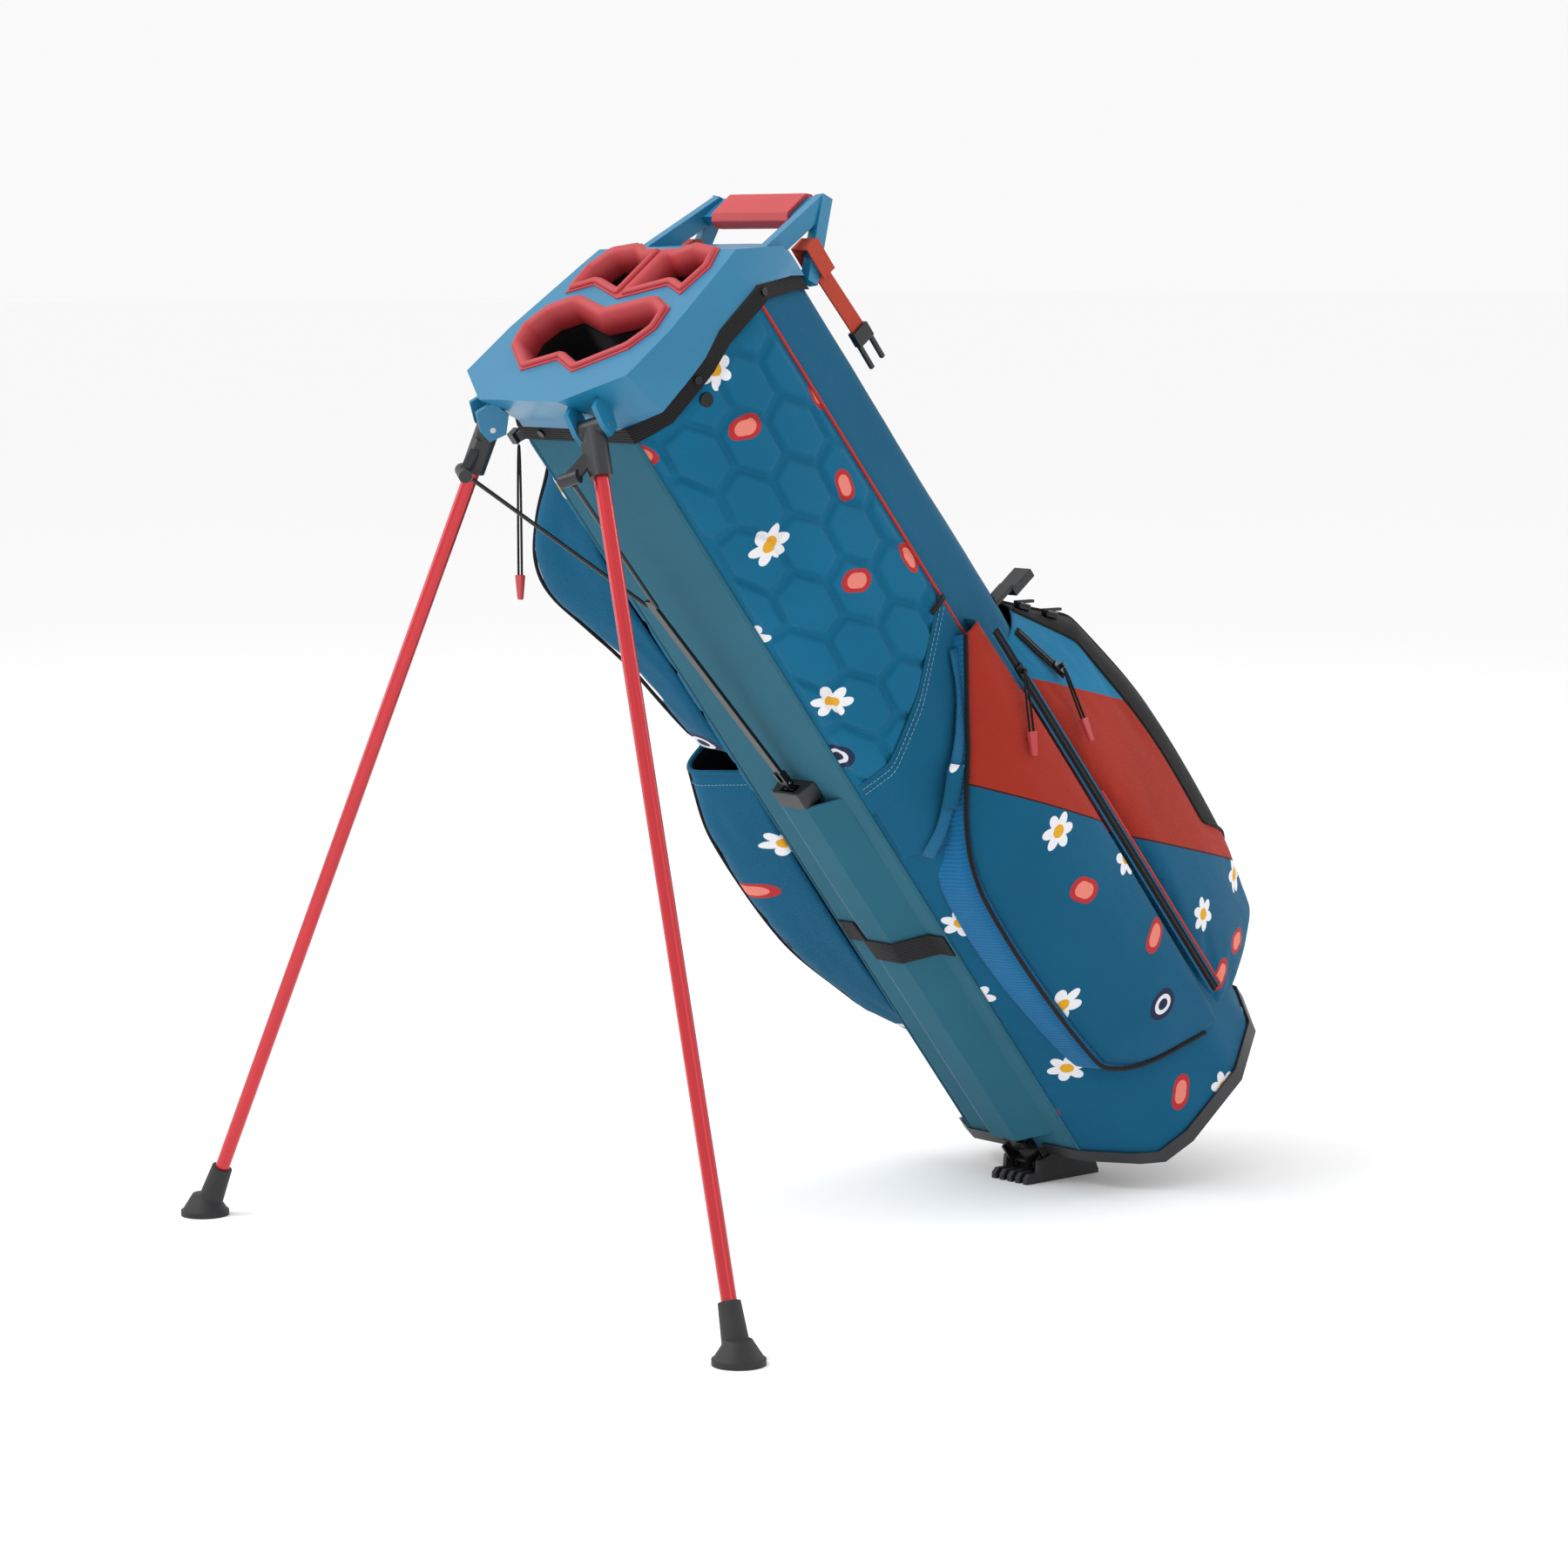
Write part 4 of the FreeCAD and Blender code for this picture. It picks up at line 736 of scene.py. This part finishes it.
right_quilt = make_panel("right_quilted_cloth", "right_quilted_panel", "quilt", 0, 3, 120, 260,
                         low=PANEL_SEAM, quilt="right")
left_quilt = make_panel("left_quilted_cloth", "left_quilted_panel", "quilt", 9, 12, 120, 260,
                        low=PANEL_SEAM, quilt="left")
make_panel("rear_cloth", "rear_panel", "plain", 3, 9, 90, 60, low=PANEL_SEAM)
make_panel("lower_body_cloth", "lower_body_panel", "print", 0, 12, 180, 70, high=PANEL_SEAM)


def spine_place(s, r):
    """The spine panel sags a little between its two seams."""
    half_width, top, sag = 67.4, 835.0, 0.24
    low = cut_height(SPINE_V)
    v = SPINE_V - 0.3 + math.sin(math.pi * s) * sag
    return (half_width * (2 * s - 1), v, low + (top - low) * r)


def make_spine():
    points = wrinkled(grid_points(spine_place, 30, 120), 0.5, 90.0, 4.0)
    spine = dress(grid_object("spine_cloth", points, 1.8, lining=True), "spine")
    spine.data.materials.append(MATS["lining"])
    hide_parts("spine_panel")


def body_line(t, low, high, lift=0.8):
    """Points up a corner of the body, a little proud of it."""
    count = 24
    heights = [low + (high - low) * k / (count - 1) for k in range(count)]
    return [lifted(*body_point(t, w), lift) for w in heights]


make_spine()
piping("right_red_piping", body_line(3, 470, 852), 1.5, "piping_red")
piping("left_red_piping", body_line(9, 470, 852), 1.5, "piping_red")
piping("right_spine_seam", body_line(0, 40, 834, 0.2), 1.3, "spine")
piping("left_spine_seam", body_line(12, 40, 834, 0.2), 1.3, "spine")


# -------------------- well lips and linings

FRONT_WELL = [(0, -116), (32, -130), (74, -101), (84, -76), (76, -50), (48, -36), (0, -52),
              (-48, -36), (-76, -50), (-84, -76), (-74, -101), (-32, -130)]
REAR_WELL = [(1.3, -39.5), (46, -23), (72, -34), (77, 0), (66, 24), (36, 30), (20, 22), (1.3, 22)]
WELLS_MIDDLE_V = -80
# The lip's section, and how the lining starts under it: inset from the well's wall, and height.
LIP = [(2.2, 885.6), (3.4, 888.2), (5.4, 888.4), (8.2, 885.2), (10.4, 878.0), (10.8, 868.5),
       (9.0, 866.0)]
LINING_TOP, LINING_INSET = 869.0, 9.2
LINING_RINGS, LINING_STEP = 13, 9.0
RING_SIDES = 180


def grown(points, distance):
    """A closed counter-clockwise outline with every side moved outward."""
    result = []
    for i, here in enumerate(points):
        before, after = points[i - 1], points[(i + 1) % len(points)]
        first = math.hypot(here[0] - before[0], here[1] - before[1])
        second = math.hypot(after[0] - here[0], after[1] - here[1])
        n1 = ((here[1] - before[1]) / first, (before[0] - here[0]) / first)
        n2 = ((after[1] - here[1]) / second, (here[0] - after[0]) / second)
        scale = distance / (1.0 + n1[0] * n2[0] + n1[1] * n2[1])
        result.append((here[0] + (n1[0] + n2[0]) * scale, here[1] + (n1[1] + n2[1]) * scale))
    return result


def well_rings(corners, profile, soft, fold=None):
    """Closed rings inside a well, one for each (inset, height) of the profile."""
    rings = []
    for k, (inset, height) in enumerate(profile):
        loop = grown(corners, -inset)
        loop = loop + loop[:1]
        ring = []
        for i in range(RING_SIDES + 1):
            u, v = rounded(loop, (i % RING_SIDES) / RING_SIDES * len(corners), soft)
            if fold:
                push = fold(i % RING_SIDES, k)
                size = math.hypot(u, v - WELLS_MIDDLE_V) or 1.0
                u, v = u + u / size * push, v + (v - WELLS_MIDDLE_V) / size * push
            ring.append((u, v, height))
        rings.append(ring)
    return np.array(rings)


def make_well(label, corners, seed):
    """The soft lip round a well, and the black cloth that hangs inside it."""
    lip = grid_object(label + "_lip", well_rings(corners, LIP, 0.10), 1.0, flip=True)
    dress(lip, "coral_rubber")
    drape = [(LINING_INSET + 0.5 * k, LINING_TOP - LINING_STEP * k) for k in range(LINING_RINGS)]

    def fold(i, k):
        """Even pleats and uneven folds that deepen downward."""
        pleat = math.sin(i / RING_SIDES * math.tau * 13 + seed)
        return (pleat + 1.4 * noise.noise(Vector((i / 14 + seed, k / 3, seed)))) * 0.12 * k
    points = well_rings(corners, drape, 0.22, fold)
    lining = dress(grid_object(label + "_lining", points, 0.6, flip=True), "lining")


make_well("front_well", FRONT_WELL, 0.0)
make_well("right_well", REAR_WELL, 1.0)
make_well("left_well", [(-x, y) for x, y in reversed(REAR_WELL)], 2.0)


# -------------------- pockets
# A pocket is a list of sections (height, corners), from its lowest to its highest, and a place
# on it is a corner parameter t and a height. A t that changes with the height is a function.

def between(rows, height):
    """A pocket's section at a height, from the rows below and above it."""
    k = 0
    while k < len(rows) - 2 and height > rows[k + 1][0]:
        k += 1
    share = (height - rows[k][0]) / (rows[k + 1][0] - rows[k][0])
    flat = [[c for p in corners for c in p] for _, corners in rows]
    values = rounded(flat, k + max(0.0, min(1.0, share)), 0.45)
    return [tuple(values[i:i + 2]) for i in range(0, len(values), 2)]


def at_height(t, height):
    return t(height) if callable(t) else t


def pocket_patch(name, rows, t0, t1, low, high, nu, nv, key, soft=0.4, depth=1.2, seed=0.0,
                 thick=1.2, pressure=0.0, cap=5.0, lining=False):
    """The cloth of a pocket between two corners, with folds, and billowed if it has pressure."""
    def place(s, r):
        height = low + (high - low) * r
        first, last = at_height(t0, height), at_height(t1, height)
        u, v = rounded(between(rows, height), first + (last - first) * s, soft)
        return (u, v, height)
    points = grid_points(place, nu, nv)
    if depth:
        points = wrinkled(points, depth, 45.0, seed)
    piece = grid_object(name, points, thick, lining=lining)
    if pressure:
        inflate(piece, pressure, cap)
    dress(piece, key)
    if lining:
        piece.data.materials.append(MATS["lining"])
    return piece


def pocket_line(rows, t, low, high, lift=0.6, soft=0.4, count=30):
    """Points up a pocket's seam, a little proud of it."""
    result = []
    for k in range(count):
        height = low + (high - low) * k / (count - 1)
        u, v = rounded(between(rows, height), at_height(t, height), soft)
        result.append(lifted(u, v, height, lift))
    return result


def pocket_hoop(rows, height):
    """Points round a left pocket at one height, from its rear edge to its front seam."""
    section = between(rows, height)
    return [rounded(section, t / 10, 0.3) for t in range(2, 41)]


# Right pocket: height, front seam (u, v), front piping (u, v), bulge u, u beside the zip.
RIGHT_ROWS = []
for height, sx, sy, px, py, bx, ex in (
        (66.0, 124.0, -6.0, 128.5, -4.0, 129.5, 130.0),
        (98.0, 118.0, -84.0, 132.0, -80.0, 138.0, 137.0),
        (130.0, 100.0, -118.0, 130.0, -114.0, 146.0, 139.0),
        (250.0, 86.0, -129.0, 132.0, -126.0, 153.0, 139.0),
        (340.0, 86.0, -128.0, 130.0, -124.0, 151.0, 138.0),
        (385.0, 92.0, -112.0, 126.0, -106.0, 147.0, 136.0),
        (440.0, 110.0, -66.0, 126.0, -60.0, 140.0, 132.0),
        (514.0, 112.0, -6.0, 123.0, -2.0, 125.0, 124.0)):
    RIGHT_ROWS.append((height, [(sx, sy), (px, py), (bx, py * 0.4 + 4), (ex, 16), (100, 17)]))


def make_right_pocket():
    face = pocket_patch("side_pocket_face", RIGHT_ROWS, 1, 3, 66, 514, 44, 120, "side",
                        soft=0.35, pressure=3.0, cap=4.0)
    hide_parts("right_side_pocket")
    pocket_patch("side_pocket_gusset", RIGHT_ROWS, 0, 1, 66, 514, 14, 120, "gusset", depth=0.6)
    pocket_patch("side_pocket_rear", RIGHT_ROWS, 3, 4, 66, 514, 10, 60, "plain", depth=0.0)
    seam = pocket_line(RIGHT_ROWS, 1, 66, 514, lift=0.8, soft=0.02, count=44)
    piping("side_pocket_piping", seam, 2.0, "piping_black")


make_right_pocket()

# Ball pocket: height, then (u, v) of its side corner, its shoulder and its rear corner.
BALL_ROWS = []
for height, sx, sy, mx, my, rx, ry in (
        (38.0, 96.0, 40.0, 70.0, 82.0, 44.0, 106.0),
        (42.0, 98.0, 40.0, 84.0, 92.0, 54.0, 146.0),
        (60.0, 118.0, 30.0, 92.0, 100.0, 56.0, 167.0),
        (147.0, 131.0, 26.0, 108.0, 96.0, 73.0, 172.0),
        (289.0, 132.0, 26.0, 107.0, 98.0, 73.0, 172.0),
        (399.0, 124.0, 30.0, 93.0, 94.0, 62.0, 152.0),
        (430.0, 113.0, 40.0, 87.0, 86.0, 60.0, 122.0),
        (462.0, 98.0, 52.0, 80.0, 76.0, 56.0, 94.0)):
    BALL_ROWS.append((height, mirrored([(90, 27), (sx, sy), (mx, my), (rx, ry)])))
BALL_SOFT = 0.45
BAND_OUT = 3.05         # corner parameter of the outer edge of the black zip band


def band_in(height):
    """Where the black zip band starts; it narrows to nothing near the base."""
    return 2.42 + 0.6 * max(0.0, min(1.0, (185 - height) / 60))


def left_band_in(height):
    return 7 - band_in(height)


def ball_patch(name, t0, t1, nu, key, **folds):
    return pocket_patch("ball_pocket_" + name, BALL_ROWS, t0, t1, 38, 462, nu, 110, key,
                        soft=BALL_SOFT, **folds)


def make_ball_pocket():
    right = ball_patch("right_flank", 0, band_in, 50, "ball", pressure=3.0, seed=3.0)
    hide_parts("ball_pocket")
    ball_patch("left_flank", left_band_in, 7, 50, "ball", pressure=3.0, seed=5.0)
    ball_patch("right_zip_band", band_in, BAND_OUT, 10, "black_fabric", depth=0.3)
    ball_patch("left_zip_band", 7 - BAND_OUT, left_band_in, 10, "black_fabric", depth=0.3)
    ball_patch("rear_face", BAND_OUT, 7 - BAND_OUT, 44, "print", pressure=3.0, seed=8.0)
    for label, t in (("right_inner", band_in), ("right_outer", BAND_OUT),
                     ("left_inner", left_band_in), ("left_outer", 7 - BAND_OUT)):
        seam = pocket_line(BALL_ROWS, t, 40, 460, lift=0.8, soft=BALL_SOFT, count=36)
        piping("ball_pocket_%s_piping" % label, seam, 1.6, "piping_black")


make_ball_pocket()


def left_rows(rows):
    """Sections from (height, front seam u, v, front corner u, v, bulge u, rear u)."""
    return [(h, [(-100, 17), (-rx, 16), (-bx, fy * 0.35), (-fx, fy), (-sx, sy)])
            for h, sx, sy, fx, fy, bx, rx in rows]


TALL_FOOT = (464.0, [(-100, 17), (-114, 16), (-112, -40), (-108, -104), (-92, -118)])
TALL_ROWS = [TALL_FOOT] + left_rows([
    (470.0, 92.0, -124.0, 142.0, -122.0, 150.0, 122.0),
    (560.0, 90.0, -126.0, 156.0, -130.0, 164.0, 128.0),
    (600.0, 88.0, -128.0, 166.0, -136.0, 174.0, 132.0),
    (660.0, 90.0, -128.0, 182.0, -150.0, 188.0, 136.0),
    (710.0, 92.0, -122.0, 166.0, -138.0, 174.0, 132.0),
    (776.0, 100.0, -92.0, 116.0, -94.0, 124.0, 112.0),
    (786.0, 99.0, -88.0, 104.0, -88.0, 107.0, 103.0)])
BOTTLE_FOOT = (114.0, [(-100, 17), (-124, 16), (-123, -40), (-116, -98), (-112, -104)])
BOTTLE_ROWS = [BOTTLE_FOOT] + left_rows([
    (120.0, 112.0, -104.0, 122.0, -104.0, 138.0, 132.0),
    (160.0, 100.0, -118.0, 148.0, -122.0, 164.0, 142.0),
    (250.0, 88.0, -128.0, 174.0, -146.0, 184.0, 150.0),
    (380.0, 86.0, -128.0, 178.0, -148.0, 186.0, 148.0),
    (446.0, 90.0, -120.0, 168.0, -130.0, 172.0, 140.0)])


def make_left_pockets():
    hem, stitch_line = 446, 434
    tall = pocket_patch("tall_pocket_face", TALL_ROWS, 0, 4, 464, 786, 64, 90, "print",
                        soft=0.3, pressure=3.0, cap=4.0, seed=11.0)
    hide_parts("left_tall_pocket")
    bottle = pocket_patch("bottle_pocket_face", BOTTLE_ROWS, 0, 4, 114, hem, 64, 90, "print",
                          soft=0.3, seed=14.0, lining=True, thick=2.4, pressure=2.0, cap=4.0)
    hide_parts("left_bottle_pocket")
    for label, rows, low, high in (("tall", TALL_ROWS, 468, 780),
                                   ("bottle", BOTTLE_ROWS, 118, hem)):
        seam = pocket_line(rows, 3, low, high, soft=0.3)
        piping(label + "_pocket_piping", seam, 1.6, "piping_black")
    proud = [(u * 1.002, v * 1.002, hem) for u, v in pocket_hoop(BOTTLE_ROWS, hem)]
    piping("bottle_pocket_hem", proud, 2.2, "plain")
    stitches("bottle_pocket_stitches", [(u - 0.9, v - 0.6, stitch_line) for u, v
                                        in pocket_hoop(BOTTLE_ROWS, stitch_line)])


make_left_pockets()


# -------------------- slip pocket and straps

def slip_place(s, r):
    """The thin pocket under the quilting: a point on the body, lifted, up to the slanted hem."""
    foot, first_guess = 382, 480.0
    t = 0.12 + 2.86 * s
    w = first_guess
    for _ in range(3):
        v = body_point(t, w)[1]
        w = foot + (hem_height(v) - foot) * r
    lift = 2.0 + 1.6 * math.sin(math.pi * s)
    u, v, _ = body_point(t, w)
    return (u + lift, v - lift * 0.25, w)


def make_slip_pocket():
    points = wrinkled(grid_points(slip_place, 50, 40), 0.6, 40.0, 20.0)
    slip = dress(grid_object("slip_pocket_cloth", points, 1.0), "plain")
    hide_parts("right_slip_pocket")
    for name, drop in (("slip_hem_stitches", 4.0), ("slip_second_stitches", 9.0)):
        line = [slip_place(k / 49, 1.0) for k in range(50)]
        stitches(name, [(u + 0.7, v - 0.3, w - drop) for u, v, w in line])
    piping("slip_hem_edge", [slip_place(k / 29, 1.0) for k in range(30)], 1.1, "plain")


def ribbon(name, path, width, key, thick=1.6):
    """A flat strap on the body, through (corner parameter, height, lift) points."""
    dense = [rounded(path, k / 4, 0.4) for k in range(4 * (len(path) - 1) + 1)]
    centres = [Vector(body_point(t, w)) + body_normal(t, w) * lift for t, w, lift in dense]
    rows = []
    for k, centre in enumerate(centres):
        way = centres[min(k + 1, len(centres) - 1)] - centres[max(k - 1, 0)]
        side = way.normalized().cross(body_normal(*dense[k][:2])).normalized()
        rows.append([tuple(centre + side * width * (i / 4 - 0.5)) for i in range(5)])
    dress(grid_object(name, np.array(rows), thick), key)


make_slip_pocket()
ribbon("side_webbing_loop", [(2.72, 508, 6), (2.5, 478, 9), (2.05, 446, 11), (1.6, 420, 11),
                             (1.15, 398, 9), (0.7, 378, 6)], 10.0, "blue_webbing")
ribbon("side_webbing_label", [(1.9, 438, 13.4), (1.6, 420, 13.4), (1.42, 411, 13.2)], 14.0,
       "print", 2.0)
ribbon("slip_pocket_pull_tab", [(2.98, 548, 6.5), (2.84, 548, 8.5), (2.7, 547, 7.5)], 5.0,
       "black_webbing", 1.4)


# -------------------- zips

# The faces of a box whose corners are counted with x slowest and z fastest.
BOX_FACES = ((0, 1, 3, 2), (4, 6, 7, 5), (0, 4, 5, 1), (2, 3, 7, 6), (1, 5, 7, 3), (0, 2, 6, 4))
SIDE_ZIP = (Vector((139, 21, 95)), Vector((128, 21, 498)))
BALL_ZIP = (Vector((107, 72.2, 402.8)), Vector((93, 63.2, 458.8)))
COIL_WIDTH, COIL_PITCH, COIL_LIFT = 2.6, 1.5, 0.8
TOOTH_HEIGHT, TOOTH_TAPER = 0.9, 0.3


def zip_axes(ends, across):
    """The directions along a zip and out of its cloth."""
    way = (ends[1] - ends[0]).normalized()
    return way, Vector(across).cross(way).normalized()


def zip_coil(name, ends, across):
    """The closed coil of a zip: two rows of small teeth with narrowed tops."""
    way, out = zip_axes(ends, across)
    start, end = (place + out * COIL_LIFT for place in ends)
    side = way.cross(out)
    verts, faces = [], []
    for k in range(int((end - start).length / COIL_PITCH)):
        for hand in (-1, 1):
            centre = (start + way * (k + 0.25 * hand + 0.5) * COIL_PITCH
                      + side * hand * COIL_WIDTH * 0.22)
            faces += [tuple(len(verts) + i for i in face) for face in BOX_FACES]
            for a in (-0.42, 0.42):
                for b in (-0.5, 0.5):
                    for c in (0, TOOTH_HEIGHT):
                        narrow = 1 - TOOTH_TAPER * (c > 0)
                        verts.append(row(*(centre + way * a * COIL_PITCH * narrow
                                           + side * b * COIL_WIDTH * 0.5 * narrow + out * c)))
    dress(mesh_object(name, verts, faces), "black_plastic")


def beside_side_zip(shift, lift, reach=1.0):
    """Points beside the side zip, from its lower end over a share of its length."""
    start, end = SIDE_ZIP
    away = zip_axes(SIDE_ZIP, (0, 1, 0))[1] * lift + Vector((0, shift, 0))
    return [start + (end - start) * (reach * k / 11) + away for k in range(12)]


def moulded_block(name, centre, size, turn, key):
    """A small moulded part with rounded edges, such as a zip slider."""
    spin = Matrix.Rotation(math.radians(turn), 3, "X")
    half = [c / 2 for c in size]
    corners = [Vector((x * half[0], y * half[1], z * half[2]))
               for x in (-1, 1) for y in (-1, 1) for z in (-1, 1)]
    verts = [row(*(Vector(centre) + spin @ corner)) for corner in corners]
    made = mesh_object(name, verts, BOX_FACES)
    bevel = made.modifiers.new("bevel", "BEVEL")
    bevel.width = min(size) * 0.28 * MM
    bevel.segments = 3
    dress(made, key)


def make_band_sliders():
    """Two sliders with rubber tabs near the top of each zip band of the ball pocket."""
    for hand, label in ((1, "right"), (-1, "left")):
        for k, height in enumerate((448, 424)):
            u, v = rounded(between(BALL_ROWS, height), 2.75, BALL_SOFT)
            moulded_block("ball_band_slider_%s_%d" % (label, k + 1),
                          (hand * u, v + 2.4, height + 1.5), (8, 6, 14), 38, "zinc")
            moulded_block("ball_band_tab_%s_%d" % (label, k + 1),
                          (hand * u, v + 6.4, height + 3.5), (5, 2.6, 20), 52, "black_rubber")


zip_coil("side_zip_coil", SIDE_ZIP, (0, 1, 0))
piping("side_zip_front_edge", beside_side_zip(-4.6, 0.4), 1.0, "blue_webbing")
piping("side_zip_rear_edge", beside_side_zip(4.6, 0.4), 1.0, "blue_webbing")
piping("side_zip_red_piping", beside_side_zip(7.0, 0.2, 0.55), 1.3, "piping_red")
zip_coil("ball_zip_coil", BALL_ZIP, (-31, 64, 0))
make_band_sliders()


# -------------------- carried-over CAD parts

def soften(node, key, width, segments):
    """Better material and, where width isn't 0, rounded edges on a CAD part that stays."""
    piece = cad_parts[node]
    for place in piece.material_slots:
        place.link = "OBJECT"
        place.material = MATS[key]
    if not width:
        return
    weld = piece.modifiers.new("weld", "WELD")
    weld.merge_threshold = 0.00002
    flat = piece.modifiers.new("flat", "DECIMATE")
    flat.decimate_type = "DISSOLVE"
    flat.angle_limit = math.radians(0.6)
    bevel = piece.modifiers.new("bevel", "BEVEL")
    bevel.width = width * MM
    bevel.segments = segments
    bevel.limit_method = "ANGLE"
    bevel.angle_limit = math.radians(28)
    bevel.harden_normals = True
    bevel.use_clamp_overlap = True
    normals = piece.modifiers.new("normals", "WEIGHTED_NORMAL")
    normals.keep_sharp = False


# Node, material, width of its rounded edges in millimetres, and their segments.
CARRIED = [
    ("top_collar", "collar_blue", 1.8, 3), ("front_well_trim", "coral_rubber", 1.0, 2),
    ("rear_wells_trim", "coral_rubber", 1.0, 2), ("handle_grip", "grip", 4.0, 4),
    ("collar_binding", "black_webbing", 0.8, 2), ("collar_screws", "zinc", 0.3, 2),
    ("spine_board", "board", 0.3, 1), ("rod_tunnel_cover", "spine", 1.5, 3),
    ("rod_guide", "black_plastic", 1.0, 2), ("spine_strap", "black_webbing", 0.5, 2),
    ("cross_divider", "lining", 0.4, 1), ("centre_divider", "lining", 0.4, 1),
    ("frame_stays", "fibreglass", 0.3, 1), ("base_cup", "black_plastic", 0.9, 2),
    ("base_foot_pin", "steel", 0.3, 2), ("base_foot", "black_rubber", 0.7, 2),
    ("cord_clip", "black_plastic", 0.6, 2), ("hanging_end", "coral_rubber", 1.0, 3),
    ("snap_button", "zinc", 0.7, 3), ("lower_buckle", "black_plastic", 0.9, 2),
    ("push_rod", "black_steel", 0.5, 2), ("rod_hinge_pin", "steel", 0.3, 2),
    ("push_strip", "black_steel", 0.4, 2), ("strap_webbing", "red_webbing", 0.4, 2),
    ("strap_buckle", "black_plastic", 1.0, 2), ("left_strap_loop", "red_webbing", 0.4, 2),
]
PAIRED = {
    ("right", "left"): [
        ("leg_pin", "steel", 0.3, 2), ("leg_yoke", "black_plastic", 1.0, 3),
        ("leg_tube", "red_tube", 0, 0), ("leg_foot", "black_rubber", 0.8, 2),
        ("wishbone_wire", "black_steel", 0, 0)],
    ("side", "ball"): [
        ("zip_tape", "black_fabric", 0.4, 1), ("zip_slider", "zinc", 0.6, 2),
        ("zip_pull_end", "coral_rubber", 1.0, 3)],
}
for pair, parts in PAIRED.items():
    CARRIED += [(first + "_" + node, *look) for first in pair for node, *look in parts]
for node, key, width, segments in CARRIED:
    soften(node, key, width, segments)
